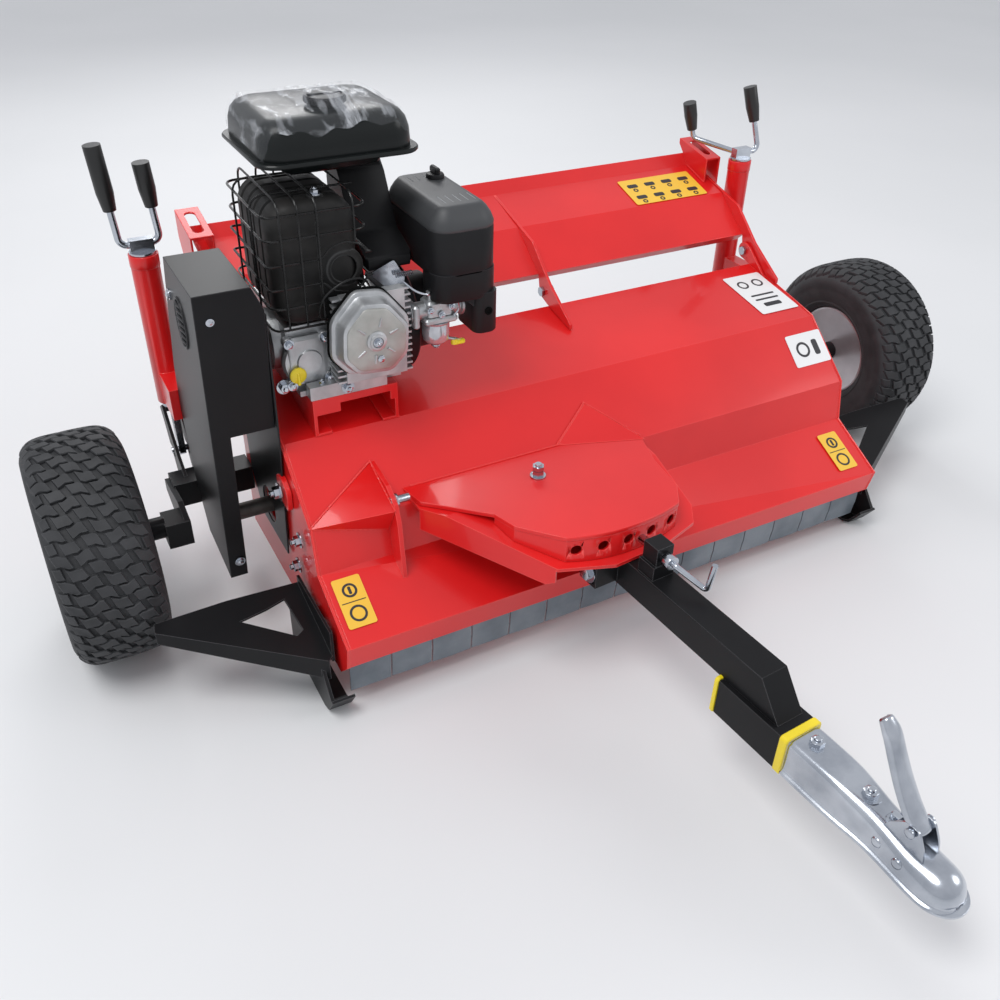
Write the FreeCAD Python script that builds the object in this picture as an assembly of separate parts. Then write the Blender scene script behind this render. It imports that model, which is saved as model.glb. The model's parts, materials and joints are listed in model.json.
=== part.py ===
import FreeCAD, Part
import math
import os
from FreeCAD import Vector

# Towed flail mower with its own petrol engine.
# Frame: +X to the machine's right-hand end of the deck, +Y to the rear, +Z up, floor at z = 0, millimetres.
# Shapes are drawn with y = 0 at the wheel axle; AXLE_Y moves them into the part's frame on export.

AXLE_Y = 421.6
# deck
DECK_L, DECK_R = -579.0, 591.0
PLATE, SHEET = 6.0, 4.0
DECK_PROFILE = [(-388, 104), (-398, 153), (-273, 217), (-257, 300), (-140, 401), (66, 443)]
SIDE_REAR = [(92, 424), (134, 330), (140, 66), (-352, 66)]
# raised rear hood
HINGE_Y, HINGE_Z = 88.0, 467.0
HINGE_R, EAR_R = 6.0, 18.0
HOOD_PROFILE = [(130, 476), (109, 496), (197, 565), (309, 598), (328, 622)]
HOOD_RIB = [(309, 598), (138, 553), (64, 490), (-21, 438), (-21, 427), (70, 446), (100, 456), (109, 496),
            (197, 565)]
RIB_X = [(DECK_L, DECK_L + PLATE), (55.0, 61.0), (DECK_R - PLATE, DECK_R)]
EAR_X = [(DECK_L + 7.5, DECK_L + 13.0), (62.5, 68.0), (DECK_R - 13.0, DECK_R - 7.5)]
# wheels, 16 x 6.50-8
WHEEL_X, TYRE_R, TYRE_HALF, RIM_R = 888.4, 204.6, 82.6, 103.0
# wheel arms, with the pivot behind the axle
ARM_Y, ARM_Z = 115.0, 200.0
PIVOT_R, RUN = 16.0, 0.05
BEAM = 50.0
PIN_Y, PIN_Z, PIN_R = 195.0, 238.0, 6.0
LIFT_L, LIFT_R = -688.0, 626.0
LIFT_Y, LIFT_TOP, LIFT_BOTTOM, LIFT_OD = 200.0, 633.0, 347.0, 49.0
INNER_R = 18.0
PLUG_Z = 337.0
# spacer bushes between the side plates and the skids
SPACER_Y, SPACER_Z, SPACER_R = (-310.0, -214.0), 86.0, 12.0
# rotor and belt drive
ROTOR_Y, ROTOR_Z, ROTOR_TUBE_R, FLAIL_R = -30.0, 215.0, 52.0, 160.0
CRANK_Y, CRANK_Z = -35.0, 545.0
BELT_X, BELT_HALF = [-678.0, -664.0], 4.8
PULLEY_X = (-686.0, -656.0)
SHAFT_END = -684.0
ENGINE_PULLEY_R, ROTOR_PULLEY_R = 44.0, 62.0
# front flaps
FLAP_Y, FLAP_Z, FLAP_COUNT, FLAP_BOTTOM = -374.0, 116.0, 15, 34.0
# tow plate, drawbar and coupler
TOW_TOP, TOW_T = 320.0, 8.0
ARC_X, ARC_Y, ARC_R, ARC_HALF = -115.0, -160.0, 342.0, 19.0
SWING_X, SWING_Y, HEADING = -109.0, -312.0, 4.1
BAR_W, BAR_TOP, BAR_BOTTOM, BAR_LENGTH = 51.0, 252.0, 193.0, 510.0
STUB_W, STUB_TOP, STUB_BOTTOM = 68.0, 193.0, 125.0
PIN_HEIGHT, LOCK_HOLE_R = 292.0, 9.5
YOKE_HALF, YOKE_Y = 72.0, (-176.0, -132.0)
BALL_REACH, BALL_Z, BALL_R = 170.0, 138.0, 26.0
LEVER_REACH, LEVER_Z = -BAR_LENGTH - 272.0, 205.0

X_AXIS = Vector(1, 0, 0)
Y_AXIS = Vector(0, 1, 0)
Z_AXIS = Vector(0, 0, 1)


# ---------- shape helpers ----------
def box(x0, x1, y0, y1, z0, z1):
    return Part.makeBox(x1 - x0, y1 - y0, z1 - z0, Vector(x0, y0, z0))


def fuse(shapes):
    whole = shapes[0].fuse(shapes[1:]) if len(shapes) > 1 else shapes[0]
    return whole.removeSplitter()


def cut(shape, tools):
    for tool in tools:
        shape = shape.cut(tool)
    return shape


def prism_x(points, x0, x1):
    corners = [Vector(x0, y, z) for y, z in points]
    return Part.Face(Part.makePolygon(corners + corners[:1])).extrude(Vector(x1 - x0, 0, 0))


def prism_z(points, z0, z1):
    corners = [Vector(x, y, z0) for x, y in points]
    return Part.Face(Part.makePolygon(corners + corners[:1])).extrude(Vector(0, 0, z1 - z0))


def prism_y(points, y0, y1):
    corners = [Vector(x, y0, z) for x, z in points]
    return Part.Face(Part.makePolygon(corners + corners[:1])).extrude(Vector(0, y1 - y0, 0))


def cyl_x(x0, x1, y, z, r):
    return Part.makeCylinder(r, x1 - x0, Vector(x0, y, z), X_AXIS)


def cyl_y(y0, y1, x, z, r):
    return Part.makeCylinder(r, y1 - y0, Vector(x, y0, z), Y_AXIS)


def cyl_z(z0, z1, x, y, r):
    return Part.makeCylinder(r, z1 - z0, Vector(x, y, z0), Z_AXIS)


def revolve_x(points, x0, y, z):
    """A ring or disc about X: points are (distance along X, radius)."""
    corners = [Vector(x0 + a, y, z + r) for a, r in points]
    face = Part.Face(Part.makePolygon(corners + corners[:1]))
    return face.revolve(Vector(x0, y, z), X_AXIS, 360)


def offset_line(points, distance):
    """The same bent line shifted to its left by a sheet's thickness, with mitred corners."""
    result = []
    last = len(points) - 1
    for i, (a, b) in enumerate(points):
        normals = []
        for j in (i - 1, i):
            if 0 <= j < last:
                da = points[j + 1][0] - points[j][0]
                db = points[j + 1][1] - points[j][1]
                size = math.hypot(da, db)
                normals.append((-db / size, da / size))
        na = sum(n[0] for n in normals)
        nb = sum(n[1] for n in normals)
        square = (na * na + nb * nb) / len(normals)
        result.append((a + na * distance / square, b + nb * distance / square))
    return result


def sheet_x(points, thickness, x0, x1):
    """Bent sheet metal: a line in the YZ plane, thickened to its right and drawn out along X."""
    return prism_x(points + offset_line(points, -thickness)[::-1], x0, x1)


def rod(points, radius, bend):
    """Round bar along straight runs joined by tangent arcs."""
    vectors = [Vector(*p) for p in points]
    edges = []
    start = vectors[0]
    for before, here, after in zip(vectors, vectors[1:], vectors[2:]):
        u = (before - here).normalize()
        v = (after - here).normalize()
        half = u.getAngle(v) / 2
        reach = bend / math.tan(half)
        first = here + u * reach
        second = here + v * reach
        middle = (u + v).normalize()
        summit = here + middle * (bend / math.sin(half) - bend)
        edges.append(Part.LineSegment(start, first).toShape())
        edges.append(Part.Arc(first, summit, second).toShape())
        start = second
    edges.append(Part.LineSegment(start, vectors[-1]).toShape())
    circle = Part.Circle(vectors[0], vectors[1] - vectors[0], radius).toShape()
    return Part.Wire(edges).makePipeShell([Part.Wire(circle)], True, False)


def hexagon(x, y, z0, z1, across):
    r = across / math.sqrt(3)
    return prism_z([(x + r * math.cos(math.radians(60 * k)), y + r * math.sin(math.radians(60 * k)))
                    for k in range(6)], z0, z1)


def turn(shape, centre, axis, degrees):
    copy = shape.copy()
    copy.rotate(Vector(*centre), axis, degrees)
    return copy


def hex_bolt(head, axis, r, length, across):
    """Bolt with its head at the point given and its shank along the axis."""
    body = fuse([hexagon(0, 0, -0.65 * r * 2, 0, across), cyl_z(0, length, 0, 0, r)])
    body.Placement = FreeCAD.Placement(Vector(*head), FreeCAD.Rotation(Z_AXIS, Vector(*axis)))
    return body


def mirror_x(shape):
    return shape.mirror(Vector(0, 0, 0), X_AXIS)


def save(node, *solids):
    shape = solids[0] if len(solids) == 1 else Part.makeCompound(list(solids))
    copy = shape.copy()
    copy.translate(Vector(0, AXLE_Y, 0))
    copy.exportStep("parts/" + node + ".step")


# ---------- deck ----------
def deck_shell():
    return sheet_x(DECK_PROFILE, SHEET, DECK_L + PLATE, DECK_R - PLATE)


def side_plate(x0, x1, outward):
    plate = prism_x(DECK_PROFILE + SIDE_REAR, x0, x1)
    shaft_hole = cyl_x(x0 - 1, x1 + 1, ROTOR_Y, ROTOR_Z, 34)
    outer = x0 if outward < 0 else x1
    stub_end = outer + outward * 62
    stub = cyl_x(min(outer, stub_end), max(outer, stub_end), ARM_Y, ARM_Z, PIVOT_R)
    return fuse([plate.cut(shaft_hole), stub])


def hinge_ear(x0, x1):
    foot = prism_x([(12, 432), (66, 443), (96, 451), (96, 480), (72, 480)], x0, x1)
    eye = cyl_x(x0, x1, HINGE_Y, HINGE_Z, EAR_R)
    return fuse([foot, eye]).cut(cyl_x(x0 - 1, x1 + 1, HINGE_Y, HINGE_Z, HINGE_R))


def hinge_bolt(rib, ear):
    low = min(rib[0], ear[0])
    high = max(rib[1], ear[1])
    shank = cyl_x(low - 2, high + 9, HINGE_Y, HINGE_Z, HINGE_R)
    head = hexagon(0, 0, 0, 6.6, 18)
    nut = hexagon(0, 0, 0, 8, 18)
    head.Placement = FreeCAD.Placement(Vector(low - 6.8, HINGE_Y, HINGE_Z), FreeCAD.Rotation(Z_AXIS, X_AXIS))
    nut.Placement = FreeCAD.Placement(Vector(high + 1, HINGE_Y, HINGE_Z), FreeCAD.Rotation(Z_AXIS, X_AXIS))
    return fuse([shank, head, nut])


def engine_stand():
    """Folded bracket with two legs on the deck's top and an open front."""
    legs = [prism_x([(-142, 402), (60, 443), (60, 464), (-142, 464)], x, x + 6) for x in (-518, -372)]
    feet = [prism_x([(-142, 402), (60, 443), (60, 447), (-142, 406)], x, x + 24) for x in (-512, -396)]
    top = box(-518, -366, -142, 60, 464, 470)
    apron = cut(box(-512, -372, -142, -138, 440, 464), [box(-470, -380, -150, -130, 430, 456)])
    return fuse(legs + feet + [top, apron])


SKID_CHEEK = [(-392, 46), (-372, 12), (-350, 5), (-210, 5), (-188, 20), (-188, 138), (-340, 106)]


def skid(side):
    """Short runner with a turned-up toe, on an upright plate; drawn for the left end."""
    profile = [(-398, 46), (-372, 8), (-350, 0), (-210, 0), (-188, 14)]
    runner = sheet_x(profile[::-1], 5, -613, -572)
    cheek = prism_x(SKID_CHEEK, -613, -607)
    spacers = [cyl_x(-607, DECK_L - 0.1, y, SPACER_Z, SPACER_R) for y in SPACER_Y]
    shoe = fuse([runner, cheek] + spacers)
    return shoe if side < 0 else move_x(mirror_x(shoe), DECK_L + DECK_R)


def move_x(shape, dx):
    copy = shape.copy()
    copy.translate(Vector(dx, 0, 0))
    return copy


def wheel_deflector(side):
    """Sloping guard plate in front of a wheel, with a cut-out, a folded front edge and a bolted foot."""
    front, rear, tip = Vector(-590, -352, 110), Vector(-590, -185, 145), Vector(-843, -213, 171)
    normal = (tip - front).cross(rear - front).normalize()
    rim = [front, Vector(-600, -362, 0), Vector(-846, -232, 0), tip, Vector(-720, -195, 0), rear]
    opening = [Vector(x, y, 0)
               for x, y in ((-626, -216), (-618, -288), (-632, -298), (-712, -244), (-662, -230))]

    def drop_to_plane(point):
        height = front.z - ((point.x - front.x) * normal.x + (point.y - front.y) * normal.y) / normal.z
        return Vector(point.x, point.y, height)

    ring = [drop_to_plane(p) for p in rim]
    hole = [drop_to_plane(p) - normal * 20 for p in opening]
    sheet = Part.Face(Part.makePolygon(ring + ring[:1])).extrude(normal * 5)
    sheet = sheet.cut(Part.Face(Part.makePolygon(hole + hole[:1])).extrude(normal * 40))
    lip_points = [ring[1], ring[2], ring[2] - Z_AXIS * 24, ring[1] - Z_AXIS * 42]
    lip = Part.Face(Part.makePolygon(lip_points + lip_points[:1])).extrude(Vector(2.1, 3.9, 0))
    foot = box(-592, -587, -352, -185, 96, 160)
    bores = [cyl_x(-600, -580, y, SPACER_Z, SPACER_R + 0.2) for y in SPACER_Y]
    notch = prism_x(SKID_CHEEK, -613.3, -606.7)
    whole = fuse([sheet, lip, foot]).cut(fuse(bores + [notch]))
    return whole if side < 0 else move_x(mirror_x(whole), DECK_L + DECK_R)


# ---------- tow plate ----------
def under_deck():
    """Everything below the deck's upper surface."""
    return prism_x(DECK_PROFILE + [(66, 20), (-388, 20)], -700, 700)


def arc_point(degrees, radius=ARC_R):
    angle = math.radians(degrees)
    return (ARC_X + radius * math.sin(angle), ARC_Y - radius * math.cos(angle))


def tow_face(z):
    """Tow plate outline: rear edge on the deck, round front, chamfered left shoulder."""
    side = [(60, -280), (36, -357), (24, -440), arc_point(ARC_HALF)]
    shoulder = [arc_point(-ARC_HALF), (-286, -417), (-300, -372), (-394, -286)]
    rear = [(-405, -230), (60, -230)]
    chain = [Vector(x, y, z) for x, y in shoulder + rear + side]
    edges = [Part.LineSegment(a, b).toShape() for a, b in zip(chain, chain[1:])]
    edges.append(Part.Arc(chain[-1], Vector(*arc_point(0), z), chain[0]).toShape())
    return Part.Face(Part.Wire(edges))


def hitch_plate_upper():
    plate = tow_face(TOW_TOP - TOW_T).extrude(Vector(0, 0, TOW_T))
    return plate.cut(under_deck())


def hitch_plate_lower():
    """Bent plate under the upper one: level at the rear, sloping down to the front, with a side flange."""
    slope = [(-236, 311), (-330, 311), (-524, 258)]
    body = sheet_x(slope, -6, -420, 70)
    outline = prism_z([(-400, -238), (60, -238), (58, -300), (52, -453), (32, -487), (-40, -508),
                       (-146, -516), (-244, -490), (-398, -292)], 200, 330)

    def along(t, z):
        return Vector(-398 + 152 * t, -292 - 196 * t, z)

    ring = [along(0, 311), along(0.194, 311), along(1, 268), along(1, 238), along(0.93, 229), along(0, 268)]
    flange = Part.Face(Part.makePolygon(ring + ring[:1])).extrude(Vector(4, 3, 0))
    return fuse([body.common(outline), flange]).cut(under_deck())


def hitch_arc_band():
    """Upright curved band between the two plates, with a row of round lock holes."""
    low, high = 240, TOW_TOP - TOW_T - 0.2
    face = tow_face(low)
    outer = face.makeOffset2D(-1.0)
    inner = face.makeOffset2D(-7.0)
    ring = outer.cut(inner).extrude(Vector(0, 0, high - low))
    slope_side = [(-200, 312), (-329.5, 312), (-524, 258.8), (-560, 249), (-560, 200), (-200, 200)]
    slope = prism_x(slope_side, -450, 100)
    behind = box(-450, 100, -372, -200, 200, 330)
    holes = []
    for angle in range(-16, 17, 8):
        x, y = arc_point(angle, ARC_R - 30)
        aim = Vector(math.sin(math.radians(angle)), -math.cos(math.radians(angle)), 0)
        holes.append(Part.makeCylinder(LOCK_HOLE_R, 60, Vector(x, y, PIN_HEIGHT), aim))
    return cut(ring, [slope, behind] + holes)


def hitch_gussets():
    """Two pyramids and the lug plate that stiffen the tow plate's rear edge."""
    lug = prism_x([(-190, 360), (-258, 350), (-290, 330), (-302, 300), (-318, 186), (-300, 188), (-270, 217),
                   (-254, 302)], -443, -435)
    left = tetra((-579, -256, 303), (-443.5, -190, 360), (-443.5, -296, 322), (-443.5, -262, 262))
    right = tetra((-98, -236, 320.5), (-12, -187, 363), (77, -256, 304), (61, -290, 320.5))
    lug = lug.cut(cyl_x(-450, -430, -276, 330, 7 + RUN))
    tools = [under_deck(), hitch_plate_upper(), hitch_plate_lower()]
    return [cut(piece, tools) for piece in (lug, left, right)]


def tetra(p, q, r, s):
    corners = [Vector(*c) for c in (p, q, r, s)]
    faces = []
    for i in range(4):
        face = [corners[j] for j in range(4) if j != i]
        faces.append(Part.Face(Part.makePolygon(face + face[:1])))
    solid = Part.makeSolid(Part.makeShell(faces))
    if solid.Volume < 0:
        solid.reverse()
    return solid


def hitch_pins():
    """Swing pin under the tow plate, plate bolt and hinge pin."""
    swing = fuse([cyl_z(207, 304.8, SWING_X, SWING_Y, 10), cyl_z(207, 212, SWING_X, SWING_Y, 16)])
    bolt = fuse([cyl_z(296, 346, -178, -307, 6), cyl_z(320, 323, -178, -307, 14),
                 hexagon(-178, -307, 323, 333, 19), hexagon(-178, -307, 334, 342, 19)])
    hinge = fuse([cyl_x(-443.3, -410, -276, 330, 7), cyl_x(-434.8, -431, -276, 330, 12)])
    return [swing, bolt.cut(box(-200, -150, -330, -280, 290, 320)), hinge]


# ---------- belt drive ----------
GUARD_FRONT = [(-181, 701), (-109, 134)]
GUARD_REAR = [(28, 151), (76, 240), (100, 380), (84, 470), (34, 595), (-9, 701)]


def belt_guard():
    """Deep upper box over a shallow lower one, open towards the deck."""
    outline = GUARD_FRONT + GUARD_REAR
    upper = prism_x(outline, -690, -586).common(box(-700, -500, -250, 200, 442, 800))
    lower = prism_x(outline, -690, -659).common(box(-700, -500, -250, 200, 100, 442))
    skin = 2.5
    inside = [(-181 + 3, 701 - skin), (-109 + 3, 134 + 3), (27, 154), (73, 241), (97, 380), (81, 469),
              (31.5, 594),
              (-11, 701 - skin)]
    upper_hollow = prism_x(inside, -690 + skin, -560).common(box(-700, -500, -250, 200, 442 + skin, 800))
    lower_hollow = prism_x(inside, -690 + skin, -560).common(box(-700, -655, -250, 200, 100, 460))
    bevel = prism_y([(-586, 660), (-586, 702), (-604, 702)], -260, 200)
    return cut(fuse([upper, lower]), [upper_hollow, lower_hollow, bevel])


def belt_guard_back():
    """Flat back plate on the side plate, with holes for the two shafts."""
    outline = [(-160, 440), (-120, 160), (24, 160), (72, 242), (78, 380), (60, 470), (20, 585), (-14, 650),
               (-170, 650)]
    plate = prism_x(outline, -585.5, -582.5)
    holes = [cyl_x(-590, -580, ROTOR_Y, ROTOR_Z, 36), cyl_x(-590, -580, CRANK_Y, CRANK_Z, 30)]
    return cut(plate, holes)


def v_pulley(y, z, radius, x0, x1, bore):
    """Two-groove V-belt pulley."""
    profile = [(0, bore), (0, radius)]
    for belt in BELT_X:
        centre = belt - x0
        profile += [(centre - 6.5, radius), (centre - 5.4, radius - 10), (centre + 5.4, radius - 10),
                    (centre + 6.5, radius)]
    profile += [(x1 - x0, radius), (x1 - x0, bore)]
    return revolve_x(profile, x0, y, z)


def engine_pulley():
    """Centrifugal clutch drum with the two-groove pulley at its outer end."""
    pulley = v_pulley(CRANK_Y, CRANK_Z, ENGINE_PULLEY_R, *PULLEY_X, 12.5)
    drum = revolve_x([(0, 12.5), (0, 40), (5, 52), (38, 52), (38, 12.5)], PULLEY_X[1], CRANK_Y, CRANK_Z)
    shaft = cyl_x(SHAFT_END, -531, CRANK_Y, CRANK_Z, 12.5)
    return fuse([pulley, drum, shaft])


def rotor_pulley():
    return v_pulley(ROTOR_Y, ROTOR_Z, ROTOR_PULLEY_R, *PULLEY_X, 15)


def drive_belts():
    """Two V-belts, each a closed loop round both pulleys."""
    belts = []
    centre = math.atan2(ROTOR_Z - CRANK_Z, ROTOR_Y - CRANK_Y)
    span = math.hypot(ROTOR_Z - CRANK_Z, ROTOR_Y - CRANK_Y)
    for x in BELT_X:
        rings = []
        for grow in (0.4, -8.6):
            r1, r2 = ENGINE_PULLEY_R + grow, ROTOR_PULLEY_R + grow
            lean = math.acos((r1 - r2) / span)
            points = []
            for cy, cz, r, a0, a1 in ((CRANK_Y, CRANK_Z, r1, centre + lean, centre + 2 * math.pi - lean),
                                      (ROTOR_Y, ROTOR_Z, r2, centre - lean, centre + lean)):
                for k in (0, 0.5, 1):
                    a = a0 + (a1 - a0) * k
                    points.append(Vector(x - BELT_HALF, cy + r * math.cos(a), cz + r * math.sin(a)))
            edges = [Part.Arc(*points[:3]).toShape(), Part.LineSegment(points[2], points[3]).toShape(),
                     Part.Arc(*points[3:]).toShape(), Part.LineSegment(points[5], points[0]).toShape()]
            rings.append(Part.Face(Part.Wire(edges)).extrude(Vector(2 * BELT_HALF, 0, 0)))
        belts.append(rings[0].cut(rings[1]))
    return belts


# ---------- rotor ----------
def rotor():
    """Flail tube with end discs, stub shafts and pairs of flail lugs."""
    x0, x1 = DECK_L + PLATE + 14, DECK_R - PLATE - 14
    tube = revolve_x([(0, ROTOR_TUBE_R - 6), (0, ROTOR_TUBE_R), (x1 - x0, ROTOR_TUBE_R),
                      (x1 - x0, ROTOR_TUBE_R - 6)], x0, ROTOR_Y, ROTOR_Z)
    ends = [cyl_x(x, x + 8, ROTOR_Y, ROTOR_Z, ROTOR_TUBE_R + 6) for x in (x0, x1 - 8)]
    shafts = [cyl_x(SHAFT_END, x0, ROTOR_Y, ROTOR_Z, 15), cyl_x(x1, DECK_R + 22, ROTOR_Y, ROTOR_Z, 15)]
    return fuse([tube] + ends + shafts + [lug for x, a in flail_places() for lug in flail_lugs(x, a)])


def flail_places():
    """Flail stations in a double spiral along the tube."""
    count = 14
    pitch = (DECK_R - DECK_L - 130) / (count - 1)
    return [(DECK_L + 65 + k * pitch, 90 * k + 45) for k in range(count)]


def flail_lugs(x, angle):
    lugs = []
    for dx in (-16, 10):
        ear = box(x + dx, x + dx + 6, ROTOR_Y - 14, ROTOR_Y + 14, ROTOR_Z + ROTOR_TUBE_R - 3, ROTOR_Z + 82)
        lugs.append(turn(ear, (x, ROTOR_Y, ROTOR_Z), X_AXIS, angle))
    return lugs


def flails():
    """Y-shaped flail blades on their cross bolts."""
    blades = []
    for x, angle in flail_places():
        middle = cyl_x(x - 9.5, x + 9.5, ROTOR_Y, ROTOR_Z + 70, 5)
        hub = box(x - 8, x + 8, ROTOR_Y - 9, ROTOR_Y + 9, ROTOR_Z + 60, ROTOR_Z + 95)
        wings = [prism_y([(x, ROTOR_Z + 86), (x + s * 30, ROTOR_Z + FLAIL_R), (x + s * 36, ROTOR_Z + FLAIL_R),
                          (x + s * 8, ROTOR_Z + 86)], ROTOR_Y - 9, ROTOR_Y + 9) for s in (-1, 1)]
        blade = fuse([middle, hub] + wings)
        blades.append(turn(blade, (x, ROTOR_Y, ROTOR_Z), X_AXIS, angle))
    return blades


def rotor_bearing(x0, x1):
    ring = revolve_x([(0, 15 + RUN), (0, 44), (x1 - x0, 40), (x1 - x0, 15 + RUN)], x0, ROTOR_Y, ROTOR_Z)
    return ring


# ---------- front flaps ----------
def flap_rod():
    return cyl_x(DECK_L + PLATE, DECK_R - PLATE, FLAP_Y, FLAP_Z, 5)


def front_flaps():
    """Hanging plates side by side on one rod, each with a rolled top and a bent lower edge."""
    gap = 1.0
    x0, x1 = DECK_L + PLATE + 1, DECK_R - PLATE - 1
    width = (x1 - x0) / FLAP_COUNT
    flaps = []
    for k in range(FLAP_COUNT):
        left = x0 + k * width + gap / 2
        right = left + width - gap
        plate = prism_x([(FLAP_Y - 2, FLAP_Z), (FLAP_Y + 2, FLAP_Z), (FLAP_Y + 2, FLAP_BOTTOM + 14),
                         (FLAP_Y + 5, FLAP_BOTTOM), (FLAP_Y + 1, FLAP_BOTTOM),
                         (FLAP_Y - 2, FLAP_BOTTOM + 14)], left, right)
        knuckle = cyl_x(left, right, FLAP_Y, FLAP_Z, 8.5)
        flaps.append(fuse([plate, knuckle]).cut(cyl_x(left - 1, right + 1, FLAP_Y, FLAP_Z, 5 + RUN)))
    return flaps


# ---------- rear hood ----------
def hood_panel():
    return sheet_x(HOOD_PROFILE, SHEET, DECK_L, DECK_R)


def hood_rib(x0, x1):
    return prism_x(HOOD_RIB, x0, x1).cut(cyl_x(x0 - 1, x1 + 1, HINGE_Y, HINGE_Z, HINGE_R + RUN))


def hood_handle(x0, x1, outer):
    """Slotted carrying channel at one end of the hood: sloping top and two side flanges."""
    top = prism_x([(240, 630), (345, 651), (345, 647), (240, 626)], x0, x1)
    middle_x = (x0 + x1) / 2
    half_slot = (x1 - x0) / 2 - 12
    slot = fuse([box(x0 + 12, x1 - 12, 266, 319, 600, 700), cyl_z(600, 700, middle_x, 266, half_slot),
                 cyl_z(600, 700, middle_x, 319, half_slot)])
    long_flange = [(240, 627), (345, 648), (345, 600), (312, 548), (240, 532)]
    short_flange = [(240, 627), (345, 648), (345, 640), (328, 622.2), (309, 598.2), (240, 577.9)]
    left, right = (long_flange, short_flange) if outer < 0 else (short_flange, long_flange)
    flanges = [prism_x(left, x0, x0 + 4), prism_x(right, x1 - 4, x1)]
    return fuse([top.cut(slot)] + flanges)


# ---------- height adjusters ----------
def adjuster_tube(x, bracket):
    tube = revolve_tube(x, LIFT_Y, LIFT_BOTTOM, LIFT_TOP, LIFT_OD / 2, INNER_R + RUN)
    cap = revolve_tube(x, LIFT_Y, LIFT_TOP - 22, LIFT_TOP, LIFT_OD / 2 + 1, 14)
    saddle = box(x - 16, x + 16, 104, LIFT_Y, 352, 412).cut(cyl_z(340, 420, x, LIFT_Y, INNER_R + 3))
    return fuse([tube, cap, saddle, box(bracket[0], bracket[1], 104, 112, 352, 412)])


def revolve_tube(x, y, z0, z1, outer, inner):
    return cyl_z(z0, z1, x, y, outer).cut(cyl_z(z0 - 1, z1 + 1, x, y, inner))


def lift_tube(x):
    """Inner tube with a flat eye and its cross pin."""
    tube = revolve_tube(x, LIFT_Y, PLUG_Z + 6, 560, INNER_R, INNER_R - 4)
    plug = cyl_z(PLUG_Z, PLUG_Z + 10, x, LIFT_Y, INNER_R)
    eye = fuse([box(x - 6, x + 6, PIN_Y - 12, PIN_Y + 12, PIN_Z, PLUG_Z + 2),
                cyl_x(x - 6, x + 6, PIN_Y, PIN_Z, 12)])
    return fuse([tube, plug, eye, cyl_x(x - 19, x + 19, PIN_Y, PIN_Z, PIN_R)])


def crank(x, ends):
    """Turning hub with two bent arms; ends gives each arm's foot, elbow and tip relative to the hub."""
    hub = fuse([cyl_z(LIFT_TOP + 0.5, LIFT_TOP + 5, x, LIFT_Y, 23), cyl_z(600, LIFT_TOP + 4, x, LIFT_Y, 10),
                box(x - 20, x + 20, LIFT_Y - 9, LIFT_Y + 9, LIFT_TOP + 4, LIFT_TOP + 26)])
    arms = [rod([(x + a, LIFT_Y + b, LIFT_TOP + c) for a, b, c in path], 6, 14) for path in ends]
    return fuse([hub] + arms)


def crank_grips(x, ends):
    """Black sleeve grips on the arm tips, slightly tapered towards the arm."""
    grips = []
    for path in ends:
        tip = Vector(*path[-1]) + Vector(x, LIFT_Y, LIFT_TOP)
        root = Vector(*path[-2]) + Vector(x, LIFT_Y, LIFT_TOP)
        aim = (tip - root).normalize()
        low = tip - aim * GRIP_LENGTH[path]
        cone = Part.makeCone(11, 14.5, 30, low, aim)
        body = Part.makeCylinder(14.5, GRIP_LENGTH[path] - 30 + 8, low + aim * 30, aim)
        bore_tool = Part.makeCylinder(6, 400, root - aim * 40, aim)
        bore = bore_tool.common(Part.makeCylinder(6, GRIP_LENGTH[path], low, aim))
        grips.append(cone.fuse(body).removeSplitter().cut(bore))
    return grips


LEFT_ARMS = (
    ((-10, 0, 16), (-35, 0, 19), (-46, 0, 180)),
    ((10, 0, 16), (33, 0, 19), (24, 0, 144)),
)
RIGHT_ARMS = (
    ((10, 0, 15), (48, 0, 15), (22, 25, 140)),
    ((-10, 4, 16), (-62, 98, 30), (-80, 100, 100)),
)
GRIP_LENGTH = {LEFT_ARMS[0]: 100, LEFT_ARMS[1]: 66, RIGHT_ARMS[0]: 66, RIGHT_ARMS[1]: 52}


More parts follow.
